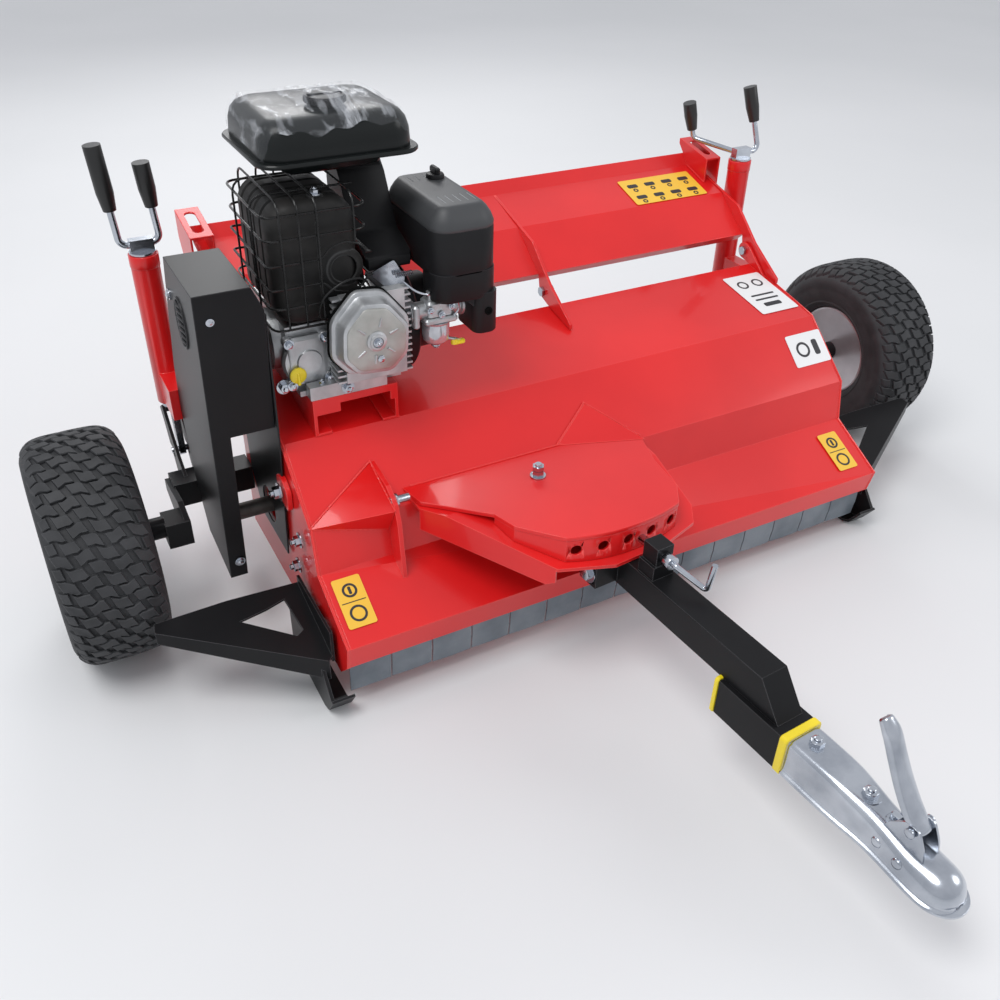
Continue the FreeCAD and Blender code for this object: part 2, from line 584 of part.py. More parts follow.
# ---------- wheel arms and wheels (drawn for the left side) ----------
def wheel_arm(inner_x, lift_x):
    """Pivot beam, gusset, axle beam, slotted lever and wheel spindle welded into one arm."""
    half = BEAM / 2
    beam = box(-730, inner_x, ARM_Y - half, ARM_Y + half, ARM_Z - half, ARM_Z + half)
    axle = box(-772, -728, -half, half, 170, 220)
    gusset_outline = [(-25, 172), (ARM_Y - 20, 176), (ARM_Y + 24, 190), (ARM_Y + 24, 214), (25, 232),
                      (-25, 219)]
    gusset = prism_x(gusset_outline,
                     -738, -728)
    spindle = fuse([cyl_x(-WHEEL_X - 62, -770, 0, TYRE_R, 12.5),
                    cyl_x(-WHEEL_X + 46.5, -770, 0, TYRE_R, 20),
                    cyl_x(-WHEEL_X - 56, -WHEEL_X - 44.5, 0, TYRE_R, 19)])
    walls = []
    side = [(130, 182), (178, 196), (232, 282), (252, 306), (228, 322), (150, 248), (112, 226)]
    for x in (lift_x - 17, lift_x + 11):
        wall = prism_x(side, x, x + 6)
        slot = fuse([box(x - 1, x + 7, PIN_Y - 12, PIN_Y + 12, PIN_Z - 8.5, PIN_Z + 8.5),
                     cyl_x(x - 1, x + 7, PIN_Y - 12, PIN_Z, 8.5),
                     cyl_x(x - 1, x + 7, PIN_Y + 12, PIN_Z, 8.5)])
        walls.append(wall.cut(slot))
    web = prism_x([(130, 182), (178, 196), (177, 200), (129, 186)], lift_x - 11, lift_x + 11)
    tie = cyl_x(lift_x - 12, lift_x + 12, 241, 304, 5)
    bore = cyl_x(inner_x - 64, inner_x + 1, ARM_Y, ARM_Z, PIVOT_R + RUN)
    return fuse([beam, axle, gusset, spindle, web, tie] + walls).cut(bore)


def rim(sign):
    """Two-flange dished steel rim with its hub; the dish faces outwards."""
    profile = [(-62, 104), (-62, 98), (-40, 90), (-12, 84), (-8, 60), (-8, 22), (-46, 22), (-46, 12.5 + RUN),
               (44, 12.5 + RUN), (44, 22), (-2, 22), (-2, 60), (-6, 84), (40, 88), (62, 98), (62, 104),
               (56, 104),
               (38, 93), (-38, 95), (-56, 104)]
    return revolve_x([(sign * a, r) for a, r in profile], sign * WHEEL_X, 0, TYRE_R)


def tyre(sign):
    profile = [(-58, 104.2), (-66, 108), (-79, 130), (-TYRE_HALF, 158), (-78, 184), (-62, 200), (-30, TYRE_R),
               (30, TYRE_R), (62, 200), (78, 184), (TYRE_HALF, 158), (79, 130), (66, 108), (58, 104.2),
               (54, 104.2),
               (62, 120), (70, 155), (66, 182), (50, 190), (-50, 190), (-66, 182), (-70, 155), (-62, 120),
               (-54, 104.2)]
    return revolve_x(profile, sign * WHEEL_X, 0, TYRE_R)


# ---------- engine ----------
def crankcase():
    case = box(-540, -345, -104, 75, 476, 590)
    flange = cyl_x(-556, -540, CRANK_Y, CRANK_Z, 52)
    foot = box(-530, -350, -120, 90, 470.5, 480)
    return fuse([case, flange, foot]).cut(cyl_x(-560, -530, CRANK_Y, CRANK_Z, 12.5 + RUN))


def cylinder_head():
    """Finned head; above the barrel it is shallower, so the muffler's basket passes behind it."""
    barrel = box(-470, -350, -128, -104, 495, 592)
    fins = [box(-476, -344, -160, -126 if z < 590 else -145, z, z + 3.5) for z in range(500, 652, 11)]
    core = [box(-462, -356, -164, -124, 500, 590), box(-462, -356, -164, -145, 590, 648)]
    return fuse([barrel] + core + fins)


def rocker_outline(grow):
    corners = [(-462, 522), (-392, 516), (-358, 548), (-354, 604), (-396, 656), (-444, 662), (-486, 618),
               (-490, 556)]
    cx, cz = -424, 588
    return [(cx + (x - cx) * grow, cz + (z - cz) * grow) for x, z in corners]


def rocker_cover():
    skirt = prism_y(rocker_outline(1.0), -176, -166)
    crown = prism_y(rocker_outline(0.84), -206, -176)
    boss = cyl_y(-214, -206, -424, 588, 13)
    return fuse([skirt, crown, boss])


def muffler():
    body = box(-552, -412, -124, 55, 595, 790)
    body = body.makeFillet(22, body.Edges)
    chamber = box(-549, -415, -121, 52, 598, 787)
    chamber = chamber.makeFillet(19, chamber.Edges)
    outlet = cyl_y(-130, -110, -440, 680, 17)
    pipe = cyl_x(-412.5, -396, -60, 640, 17)
    return fuse([cut(body, [chamber, outlet]), pipe])


def muffler_cage():
    """Welded wire basket: level hoops round the muffler, with upright and top wires."""
    wires = []
    x0, x1, y0, y1 = -566, -398, -138, 66
    for k in range(6):
        z = 600 + 36 * k
        wires.append(rod([(x1, y0, z), (x0, y0, z), (x0, y1, z), (x1, y1, z)], 2, 24))
    for x in (-540, -482, -424):
        arch = [(x, y0 - 4.2, 596), (x, y0 - 4.2, 804), (x, y1 + 4.2, 804), (x, y1 + 4.2, 596)]
        wires.append(rod(arch, 2, 24))
    for y in (-80, 10):
        wires.append(rod([(x0 - 4.2, y, 596), (x0 - 4.2, y, 799), (x1 + 4.2, y, 799)], 2, 20))
    return wires


def air_filter():
    """Tall box: a full-depth upper part, and a front leg beside the carburettor."""
    upper = box(-307, -193, -183, 36, 656, 768)
    front = box(-307, -193, -183, -103, 616, 656.5)
    leg = box(-236, -193, -183, -103, 548, 616.5)
    whole = fuse([upper, front, leg])
    tall = [e for e in whole.Edges if e.BoundBox.ZLength > 90]
    upright = [e for e in tall if e.BoundBox.XLength + e.BoundBox.YLength < 1]
    whole = whole.makeFillet(26, upright)
    inside = [box(-303, -197, -179, 32, 660, 764), box(-303, -197, -179, -107, 620, 661),
              cyl_z(760, 770, -232, -20, 16)]
    return cut(whole, inside)


def air_filter_knob():
    return fuse([cyl_z(760.5, 776, -232, -20, 15), box(-236, -228, -34, -6, 775, 784)])


def carburettor():
    """Intake body with its float bowl, under the filter's front."""
    body = cyl_x(-343, -248, -145, 594, 19)
    flange = box(-343.5, -338, -170, -134, 568, 615)
    bowl = cyl_z(530, 580, -294, -145, 24)
    lid = cyl_z(574, 580, -294, -145, 28)
    return fuse([body, flange, bowl, lid])


def blower_housing():
    """Fan drum with the recoil cover, and the cooling shroud that rises to the tank."""
    drum = cyl_x(-344, -312, CRANK_Y, CRANK_Z, 95)
    cover = cyl_x(-312, -262, CRANK_Y, CRANK_Z, 66)
    shroud = box(-392, -312, -98, 70, 655, 811)
    neck = box(-344, -312, -98, 60, 560, 660)
    return fuse([drum, cover, shroud, neck]).cut(box(-389, -347, -95, 67, 650, 808))


def recoil_handle():
    return fuse([cyl_x(-261, -252, -35, 590, 6), box(-252, -240, -60, -10, 583, 597)])


def fuel_tank():
    """Pressed tank: shallow lower pan, seam flange and a domed upper half with the filler neck."""
    lower = box(-505, -325, -66, 92, 811.5, 838)
    flange = box(-550, -290, -112, 122, 838, 845)
    upper = box(-541, -299, -103, 113, 845, 903)
    top_edges = [e for e in upper.Edges if e.BoundBox.ZMax > 902]
    rims = [e for e in top_edges if e.BoundBox.ZMin > 902 or e.BoundBox.ZLength > 50]
    upper = upper.makeFillet(24, rims)
    neck = cyl_z(902, 907, -418, -32, 26)
    return fuse([lower, flange, upper, neck])


def fuel_cap():
    return fuse([cyl_z(907.2, 917, -418, -32, 31), box(-446, -390, -36, -28, 916, 921)])


def dipstick():
    return fuse([cyl_y(-118, -104.2, -530, 512, 8), box(-540, -520, -124, -118, 509, 515)])


def engine_rails():
    return [box(-520, -384, y0, y1, 470.3, 494) for y0, y1 in ((-142, -121), (92, 110))]


# ---------- drawbar and coupler (drawn along -Y from the swing pin, then turned to the heading) ----------
def aim_bar(shape):
    copy = shape.copy()
    copy.translate(Vector(SWING_X, SWING_Y, 0))
    return turn(copy, (SWING_X, SWING_Y, 0), Z_AXIS, HEADING)


def drawbar():
    half = BAR_W / 2
    outline = prism_x([(-24, BAR_TOP), (-BAR_LENGTH, BAR_TOP), (-BAR_LENGTH - 46, BAR_BOTTOM),
                       (-24, BAR_BOTTOM)], -half, half)
    hollow = prism_x([(-20, BAR_TOP - 4), (-BAR_LENGTH + 2, BAR_TOP - 4), (-BAR_LENGTH - 38, BAR_BOTTOM + 4),
                      (-20, BAR_BOTTOM + 4)], -half + 4, half - 4)
    eyes = []
    for z in (214, 242):
        eye = fuse([cyl_z(z, z + 10, 0, 0, 24), box(-21, 21, -30, 0, z, z + 10)])
        eyes.append(eye.cut(cyl_z(z - 1, z + 11, 0, 0, 10 + RUN)))
    yoke = box(-YOKE_HALF, YOKE_HALF, *YOKE_Y, 198, 247).cut(box(-YOKE_HALF - 1, YOKE_HALF + 1, YOKE_Y[0] + 5,
                                                                 YOKE_Y[1] + 1, 203, 242))
    return aim_bar(fuse([fuse([outline, yoke]).cut(hollow)] + eyes))


def lock_housing():
    """Upright socket on the bar that carries the sprung lock pin; open hole along the bar."""
    block = fuse([box(-22, 22, -258, -220, BAR_TOP, 278), box(-17, 17, -256, -222, 278, 312)])
    return aim_bar(block.cut(cyl_y(-300, -200, 0, PIN_HEIGHT, 8 + RUN)))


def lock_pin():
    """Round pin with a hex collar and a bent pull rod in front."""
    pin = fuse([cyl_y(-270, -196, 0, PIN_HEIGHT, 8), cyl_y(-276, -260, 0, PIN_HEIGHT, 12)])
    pull = rod([(0, -270, PIN_HEIGHT), (0, -283, PIN_HEIGHT), (24, -334, 268), (26, -340, 322)], 5, 6)
    return aim_bar(fuse([pin, pull]))


def front_stub():
    half = STUB_W / 2
    y0, y1 = -BAR_LENGTH - 60, -BAR_LENGTH + 68
    tube = box(-half, half, y0, y1, STUB_BOTTOM, STUB_TOP - 0.3).cut(
        box(-half + 3.8, half - 3.8, y0 - 1, y1 + 1, STUB_BOTTOM + 4, STUB_TOP - 2.8))
    return aim_bar(tube)


def stub_caps():
    """Yellow plastic frames over both ends of the stub."""
    half = STUB_W / 2
    caps = []
    rear_cap = (-BAR_LENGTH + 68.3, -BAR_LENGTH + 74, 1)
    front_cap = (-BAR_LENGTH - 68, -BAR_LENGTH - 60.3, -1)
    for y0, y1, lap in (rear_cap, front_cap):
        plate = box(-half - 4, half + 4, y0, y1, STUB_BOTTOM - 4, STUB_TOP + 3 if lap < 0 else STUB_TOP - 0.3)
        if lap < 0:
            plate = plate.cut(box(-31, 31, y0 - 1, y1 + 1, 129, 191))
        caps.append(aim_bar(plate))
    return caps


def coupler_body():
    """Pressed ball coupler: square shank, tapering body and a domed ball socket open below."""
    tail, end = -BAR_LENGTH - 40, -BAR_LENGTH - 150
    ball = end - BALL_REACH
    shank = box(-30, 30, end, tail, 130, 190).cut(box(-27, 27, end - 1, tail + 1, 120, 187))
    nose = ball + 30
    side = prism_x([(end, 190), (end - 80, 184), (nose, 172), (nose, 130), (end, 130)], -30, 30)
    hollow = prism_x([(end + 1, 187), (end - 80, 181), (nose - 1, 169), (nose - 1, 120), (end + 1, 120)],
                     -27, 27)
    outer = BALL_R + 5
    above_skirt = box(-40, 40, ball - 40, ball + 40, 134, 180)
    dome = Part.makeSphere(outer, Vector(0, ball, BALL_Z)).common(above_skirt)
    skirt = cyl_z(130, BALL_Z, 0, ball, outer)
    neck = box(-30, 30, ball, nose + 1, 130, 160)
    lip = box(-26, 26, ball - 46, ball - 16, 130, 134)
    socket = fuse([Part.makeSphere(BALL_R, Vector(0, ball, BALL_Z)), cyl_z(110, BALL_Z, 0, ball, BALL_R),
                   box(-16, 16, ball, nose + 2, 110, 154)])
    cheeks = [box(x, x + 4, LEVER_REACH - 22, LEVER_REACH + 22, 168, 217) for x in (-16, 12)]
    cheeks = [c.cut(cyl_x(-30, 30, LEVER_REACH, LEVER_Z, 5 + RUN)) for c in cheeks]
    body = fuse([shank, side.cut(hollow), fuse([dome, skirt, neck, lip]).cut(socket)] + cheeks)
    return aim_bar(body.cut(socket))


def coupler_lever():
    """Clamp lever leaning back over the coupler on its cross pin."""
    y, z = LEVER_REACH, LEVER_Z
    arm = prism_x([(y - 6, z + 6), (y + 6, z - 8), (y + 62, z + 34), (y + 100, z + 120), (y + 92, z + 127),
                   (y + 80, z + 118), (y + 46, z + 42)], -11, 11)
    return aim_bar(fuse([arm, cyl_x(-11, 11, y, z, 11), cyl_x(-20, 20, y, z, 5)]))


def bar_bolts():
    """Coupler bolts on top of the shank and the cross bolt in the bar's yoke."""
    tops = [fuse([cyl_z(190.1, 192, 0, -BAR_LENGTH - d, 12), hexagon(0, -BAR_LENGTH - d, 192, 201, 19)])
            for d in (98, 142)]
    cross = hex_bolt((-YOKE_HALF - 0.2, YOKE_Y[0] + 22, 222), (1, 0, 0), 6, 0.1, 24)
    return [aim_bar(b) for b in tops + [cross]]


# ---------- export ----------
def main():
    os.makedirs("parts", exist_ok=True)
    save("deck_shell", deck_shell(), *[hinge_ear(*x) for x in EAR_X])
    save("side_plate_left", side_plate(DECK_L, DECK_L + PLATE, -1))
    save("side_plate_right", side_plate(DECK_R - PLATE, DECK_R, 1))
    save("hinge_bolts", *[hinge_bolt(r, e) for r, e in zip(RIB_X, EAR_X)])
    save("engine_stand", engine_stand())
    save("skids", skid(-1), skid(1))
    save("wheel_deflectors", wheel_deflector(-1), wheel_deflector(1))
    save("hitch_plate_upper", hitch_plate_upper())
    save("hitch_plate_lower", hitch_plate_lower())
    save("hitch_arc_band", hitch_arc_band())
    save("hitch_gussets", *hitch_gussets())
    save("hitch_pins", *hitch_pins())
    save("belt_guard", belt_guard())
    save("belt_guard_back", belt_guard_back())
    save("engine_pulley", engine_pulley())
    save("rotor_pulley", rotor_pulley())
    save("drive_belts", *drive_belts())
    save("rotor", rotor())
    save("flails", *flails())
    save("rotor_bearings", rotor_bearing(DECK_L + 6.2, DECK_L + 19.5),
         rotor_bearing(DECK_R + 0.2, DECK_R + 18))
    save("flap_rod", flap_rod())
    save("front_flaps", *front_flaps())
    save("hood_panel", hood_panel())
    save("hood_ribs", *[hood_rib(*x) for x in RIB_X])
    save("hood_handles", hood_handle(-598, -554, -1), hood_handle(564, 604, 1))
    save("adjuster_tube_left", adjuster_tube(LIFT_L, (LIFT_L, DECK_L - 0.2)))
    save("adjuster_tube_right", adjuster_tube(LIFT_R, (DECK_R + 0.2, LIFT_R)))
    for side, x, arms in (("left", LIFT_L, LEFT_ARMS), ("right", LIFT_R, RIGHT_ARMS)):
        sign = -1 if side == "left" else 1
        inner_x = DECK_L - 1.5 if sign < 0 else -DECK_R - 1.5
        arm = wheel_arm(inner_x, x if sign < 0 else -x)
        save("wheel_arm_" + side, arm if sign < 0 else mirror_x(arm))
        save("rim_" + side, rim(sign))
        save("tyre_" + side, tyre(sign))
        save("lift_tube_" + side, lift_tube(x))
        save("crank_" + side, crank(x, arms))
        save("crank_grips_" + side, *crank_grips(x, arms))
    save("crankcase", crankcase())
    save("cylinder_head", cylinder_head())
    save("rocker_cover", rocker_cover())
    save("muffler", muffler())
    save("muffler_cage", *muffler_cage())
    save("air_filter", air_filter())
    save("air_filter_knob", air_filter_knob())
    save("carburettor", carburettor())
    save("blower_housing", blower_housing())
    save("recoil_handle", recoil_handle())
    save("fuel_tank", fuel_tank())
    save("fuel_cap", fuel_cap())
    save("dipstick", dipstick())
    save("engine_rails", *engine_rails())
    save("drawbar", drawbar(), lock_housing())
    save("lock_pin", lock_pin())
    save("front_stub", front_stub())
    save("stub_caps", *stub_caps())
    save("coupler_body", coupler_body())
    save("coupler_lever", coupler_lever())
    save("bar_bolts", *bar_bolts())


main()
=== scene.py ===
import json
import math

import bpy
from mathutils import Euler, Matrix, Vector, noise


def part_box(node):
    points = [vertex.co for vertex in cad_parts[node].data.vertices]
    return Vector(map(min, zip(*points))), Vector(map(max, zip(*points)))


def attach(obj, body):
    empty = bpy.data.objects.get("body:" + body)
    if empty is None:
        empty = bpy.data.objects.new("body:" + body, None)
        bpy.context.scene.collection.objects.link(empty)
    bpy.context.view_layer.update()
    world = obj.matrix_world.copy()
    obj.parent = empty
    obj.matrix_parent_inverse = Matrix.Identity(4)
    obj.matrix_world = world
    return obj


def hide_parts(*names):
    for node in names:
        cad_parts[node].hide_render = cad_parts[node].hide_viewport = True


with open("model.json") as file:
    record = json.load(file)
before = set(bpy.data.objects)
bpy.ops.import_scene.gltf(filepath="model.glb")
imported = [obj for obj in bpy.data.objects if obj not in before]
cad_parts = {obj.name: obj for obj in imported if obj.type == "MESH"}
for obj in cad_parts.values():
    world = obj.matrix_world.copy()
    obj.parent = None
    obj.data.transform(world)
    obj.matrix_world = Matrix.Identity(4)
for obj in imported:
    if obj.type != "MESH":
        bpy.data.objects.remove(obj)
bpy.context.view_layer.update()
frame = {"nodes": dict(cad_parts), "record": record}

# Pieces are drawn in millimetres with y = 0 at the wheel axle, as the CAD draws them, and scaled here.
rim_low, rim_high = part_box("rim_left")
AXLE_Y = (rim_low.y + rim_high.y) / 2
LOCAL = Matrix.Translation((0, AXLE_Y, 0)) @ Matrix.Scale(0.001, 4)
SWING = Vector((-109, -312, 0))
HEADING = math.radians(4.1)
CAMERA_PLACE = Vector((-932.6, -1534.1, 1282.8))
CAMERA_AZIMUTH, CAMERA_ELEVATION, CAMERA_ROLL = -28.994, 35.226, 1.321
CAMERA_LENS = 35.65
UP, FRONT, LEFT, RIGHT = (0, 0, 1), (0, -1, 0), (-1, 0, 0), (1, 0, 0)
BAR = LOCAL @ Matrix.Translation(SWING) @ Matrix.Rotation(HEADING, 4, "Z")


# ---------- camera, floor and light ----------
def make_camera():
    azimuth, elevation, roll = (math.radians(a) for a in (CAMERA_AZIMUTH, CAMERA_ELEVATION, CAMERA_ROLL))
    back = Vector((math.sin(azimuth) * math.cos(elevation), -math.cos(azimuth) * math.cos(elevation),
                   math.sin(elevation)))
    right = back.cross(Vector((0, 0, -1))).normalized()
    up = back.cross(right)
    turned_right = right * math.cos(roll) + up * math.sin(roll)
    turned_up = up * math.cos(roll) - right * math.sin(roll)
    camera = bpy.data.objects.new("camera", bpy.data.cameras.new("camera"))
    camera.data.lens = CAMERA_LENS
    camera.data.sensor_width = 36
    turn = Matrix((turned_right, turned_up, back)).transposed().to_4x4()
    camera.matrix_world = Matrix.Translation(LOCAL @ CAMERA_PLACE) @ turn
    bpy.context.scene.collection.objects.link(camera)
    bpy.context.scene.camera = camera


def area_light(name, position, target, size, power):
    lamp = bpy.data.lights.new(name, "AREA")
    lamp.shape = "DISK"
    lamp.size = size
    lamp.energy = power
    holder = bpy.data.objects.new(name, lamp)
    holder.location = position
    holder.rotation_euler = (Vector(target) - Vector(position)).to_track_quat("-Z", "Y").to_euler()
    bpy.context.scene.collection.objects.link(holder)


def make_studio():
    world = bpy.data.worlds.new("studio")
    bpy.context.scene.world = world
    world.use_nodes = True
    background = world.node_tree.nodes["Background"]
    background.inputs["Color"].default_value = (0.93, 0.95, 1.0, 1)
    background.inputs["Strength"].default_value = 0.72
    bpy.context.scene.view_settings.view_transform = "Standard"
    area_light("key", (-2.2, -0.6, 4.4), (0, 0, 0.3), 2.4, 95)
    area_light("fill", (3.6, -2.4, 2.8), (0, 0, 0.4), 2.2, 34)
    area_light("rim", (0.6, 4.2, 3.0), (0, 0, 0.5), 2.0, 46)
    bpy.ops.mesh.primitive_plane_add(size=60, location=(0, 0, -0.0005))
    floor = bpy.context.object
    floor.name = "floor"
    floor.data.materials.append(MATERIALS["floor"])


# ---------- materials ----------
def node_material(name, colours, rough=(0.3, 0.4), metallic=0.0, patches=4.0, grain=400.0, bump=0.05,
                  depth=0.0004, coat=0.0, coat_rough=0.08, edge=None, edge_highlight_width=0.002, streak=None,
                  alpha=1.0, specular=0.5):
    """Two shades in soft patches, uneven roughness, a fine grain and, where asked, paler edges as a painted
    highlight.
    """
    material = bpy.data.materials.new(name)
    material.use_nodes = True
    tree = material.node_tree
    shader = tree.nodes["Principled BSDF"]
    link = tree.links.new

    def add(kind, **values):
        node = tree.nodes.new(kind)
        for key, value in values.items():
            if key in node.inputs:
                node.inputs[key].default_value = value
            else:
                setattr(node, key, value)
        return node

    place = add("ShaderNodeTexCoord").outputs["Object"]
    if streak:
        stretch = add("ShaderNodeMapping", Scale=streak)
        link(place, stretch.inputs["Vector"])
        place_grain = stretch.outputs["Vector"]
    else:
        place_grain = place
    wide = add("ShaderNodeTexNoise", Scale=patches, Detail=5.0)
    fine = add("ShaderNodeTexNoise", Scale=grain, Detail=3.0)
    link(place, wide.inputs["Vector"])
    link(place_grain, fine.inputs["Vector"])
    shades = add("ShaderNodeValToRGB")
    shades.color_ramp.elements[0].position = 0.35
    shades.color_ramp.elements[1].position = 0.65
    shades.color_ramp.elements[0].color = (*colours[0], 1)
    shades.color_ramp.elements[1].color = (*colours[1], 1)
    link(wide.outputs["Fac"], shades.inputs["Fac"])
    colour = shades.outputs["Color"]
    # Painted highlight: where an edge colour is given, it is mixed in where the rounded normal turns away
    # from the true one.
    if edge:
        round_normal = add("ShaderNodeBevel", Radius=edge_highlight_width, samples=4)
        geometry = add("ShaderNodeNewGeometry")
        flat = add("ShaderNodeVectorMath", operation="DOT_PRODUCT")
        link(round_normal.outputs["Normal"], flat.inputs[0])
        link(geometry.outputs["Normal"], flat.inputs[1])
        edge_highlight_mask = add("ShaderNodeMapRange")
        edge_highlight_mask.inputs["From Min"].default_value = 0.995
        edge_highlight_mask.inputs["From Max"].default_value = 0.86
        link(flat.outputs["Value"], edge_highlight_mask.inputs["Value"])
        mix = add("ShaderNodeMix", data_type="RGBA")
        link(edge_highlight_mask.outputs["Result"], mix.inputs["Factor"])
        link(colour, mix.inputs["A"])
        mix.inputs["B"].default_value = (*edge, 1)
        colour = mix.outputs["Result"]
    link(colour, shader.inputs["Base Color"])
    roughness = add("ShaderNodeMapRange")
    roughness.inputs["To Min"].default_value = rough[0]
    roughness.inputs["To Max"].default_value = rough[1]
    link(fine.outputs["Fac"], roughness.inputs["Value"])
    link(roughness.outputs["Result"], shader.inputs["Roughness"])
    relief = add("ShaderNodeBump", Strength=bump, Distance=depth)
    link(fine.outputs["Fac"], relief.inputs["Height"])
    link(relief.outputs["Normal"], shader.inputs["Normal"])
    shader.inputs["Metallic"].default_value = metallic
    shader.inputs["Coat Weight"].default_value = coat
    shader.inputs["Coat Roughness"].default_value = coat_rough
    shader.inputs["Specular IOR Level"].default_value = specular
    shader.inputs["Alpha"].default_value = alpha
    return material


def film_material():
    """Thin clear film: almost invisible, with milky streaks where it is creased, which are painted highlights
    on the creases.
    """
    material = node_material("film", [(0.80, 0.84, 0.90), (0.92, 0.95, 1.0)], (0.05, 0.14), patches=25,
                             bump=0.02,
                             specular=0.6)
    tree = material.node_tree
    shader = tree.nodes["Principled BSDF"]
    place = tree.nodes.new("ShaderNodeTexCoord")
    stretch = tree.nodes.new("ShaderNodeMapping")
    stretch.inputs["Scale"].default_value = (26, 9, 14)
    stretch.inputs["Rotation"].default_value = (0, 0, 0.5)
    streaks = tree.nodes.new("ShaderNodeTexNoise")
    streaks.inputs["Scale"].default_value = 1.6
    streaks.inputs["Detail"].default_value = 7
    streaks.inputs["Distortion"].default_value = 0.8
    # The milky white streaks are a painted highlight along the creases.
    crease_highlight = tree.nodes.new("ShaderNodeMapRange")
    crease_highlight.inputs["From Min"].default_value = 0.50
    crease_highlight.inputs["From Max"].default_value = 0.72
    crease_highlight.inputs["To Min"].default_value = 0.03
    crease_highlight.inputs["To Max"].default_value = 0.45
    tree.links.new(place.outputs["Object"], stretch.inputs["Vector"])
    tree.links.new(stretch.outputs["Vector"], streaks.inputs["Vector"])
    tree.links.new(streaks.outputs["Fac"], crease_highlight.inputs["Value"])
    tree.links.new(crease_highlight.outputs["Result"], shader.inputs["Alpha"])
    return material


# The edge colours below are painted highlights along the edges.
FINISHES = {
    "floor": dict(colours=[(0.74, 0.745, 0.75), (0.77, 0.772, 0.778)], rough=(0.55, 0.7), patches=0.6,
        grain=60, bump=0.02),
    "red_paint": dict(colours=[(0.68, 0.010, 0.011), (0.76, 0.014, 0.014)], rough=(0.26, 0.36), grain=900,
        bump=0.05, depth=0.0002, coat=0.35, specular=0.35, edge=(0.90, 0.09, 0.08), edge_highlight_width=0.0022),
    "black_paint": dict(colours=[(0.008, 0.008, 0.009), (0.013, 0.013, 0.014)], rough=(0.30, 0.42),
        grain=1100, bump=0.12, depth=0.0002, specular=0.16, edge=(0.11, 0.11, 0.115), edge_highlight_width=0.0016),
    "zinc": dict(colours=[(0.40, 0.43, 0.48), (0.58, 0.61, 0.66)], rough=(0.14, 0.28), metallic=1.0,
        patches=18, grain=260, bump=0.05, streak=(1, 5, 1)),
    "rotor_steel": dict(colours=[(0.06, 0.055, 0.05), (0.14, 0.13, 0.12)], rough=(0.45, 0.65),
        metallic=0.8, patches=22, grain=180, bump=0.2),
    "tyre_rubber": dict(colours=[(0.020, 0.021, 0.023), (0.034, 0.035, 0.038)], rough=(0.55, 0.75),
        patches=30, grain=700, bump=0.35, depth=0.0004, edge=(0.07, 0.072, 0.078), edge_highlight_width=0.0012),
    "rim_paint": dict(colours=[(0.50, 0.51, 0.53), (0.62, 0.63, 0.65)], rough=(0.28, 0.42), metallic=0.7,
        patches=14, grain=500, bump=0.06),
    "cast_aluminium": dict(colours=[(0.42, 0.43, 0.44), (0.58, 0.59, 0.60)], rough=(0.32, 0.52),
        metallic=0.85, patches=26, grain=650, bump=0.35, depth=0.0004),
    "black_plastic": dict(colours=[(0.010, 0.010, 0.011), (0.017, 0.017, 0.018)], rough=(0.34, 0.5),
        grain=1400, bump=0.3, depth=0.0002, specular=0.18, edge=(0.035, 0.035, 0.038)),
    "tank_paint": dict(colours=[(0.004, 0.005, 0.005), (0.008, 0.010, 0.010)], rough=(0.24, 0.38),
        grain=500, bump=0.03, coat=0.12, coat_rough=0.1, specular=0.2),
    "grip_plastic": dict(colours=[(0.010, 0.010, 0.010), (0.018, 0.018, 0.018)], rough=(0.30, 0.42),
        grain=800, bump=0.15),
    "yellow_plastic": dict(colours=[(0.86, 0.66, 0.01), (0.93, 0.75, 0.02)], rough=(0.25, 0.38), grain=900,
        bump=0.08, coat=0.3),
    "belt_rubber": dict(colours=[(0.02, 0.02, 0.02), (0.035, 0.035, 0.035)], rough=(0.6, 0.8), bump=0.3),
    "flap_grey": dict(colours=[(0.13, 0.155, 0.18), (0.23, 0.26, 0.29)], rough=(0.38, 0.58), metallic=0.25,
        patches=11, grain=300, bump=0.14, streak=(1, 1, 0.2)),
    "muffler_black": dict(colours=[(0.010, 0.010, 0.010), (0.022, 0.021, 0.020)], rough=(0.42, 0.6),
        patches=20, grain=900, bump=0.3, specular=0.22, edge=(0.05, 0.05, 0.05)),
}
EXTRA_FINISHES = {
    "lid_grey": dict(colours=[(0.040, 0.042, 0.045), (0.055, 0.057, 0.060)], rough=(0.42, 0.55),
        grain=1500, bump=0.35, depth=0.0002),
    "rib_pale": dict(colours=[(0.24, 0.25, 0.26), (0.32, 0.33, 0.34)], rough=(0.4, 0.5)),
    "plate_white": dict(colours=[(0.80, 0.80, 0.80), (0.86, 0.86, 0.86)], rough=(0.3, 0.4), bump=0.02),
    "plate_yellow": dict(colours=[(0.86, 0.50, 0.04), (0.90, 0.56, 0.06)], rough=(0.3, 0.4), bump=0.02),
    "ink": dict(colours=[(0.02, 0.02, 0.025), (0.03, 0.03, 0.035)], rough=(0.4, 0.5)),
    "bowl_clear": dict(colours=[(0.45, 0.47, 0.50), (0.62, 0.64, 0.67)], rough=(0.08, 0.18), metallic=0.6,
        patches=40),
    "panel_beige": dict(colours=[(0.36, 0.355, 0.33), (0.46, 0.455, 0.43)], rough=(0.34, 0.5),
        metallic=0.6, patches=30, grain=500, bump=0.15),
    "wire_black": dict(colours=[(0.010, 0.010, 0.010), (0.020, 0.020, 0.020)], rough=(0.22, 0.34),
        metallic=0.5, patches=40),
    # Near-black matte finish: the real rocker gasket, and painted shade inside the air filter hole and the
    # muffler mouth.
    "gasket_and_hole_shade": dict(colours=[(0.002, 0.002, 0.002), (0.004, 0.004, 0.004)], rough=(0.6, 0.7), specular=0.05),
}
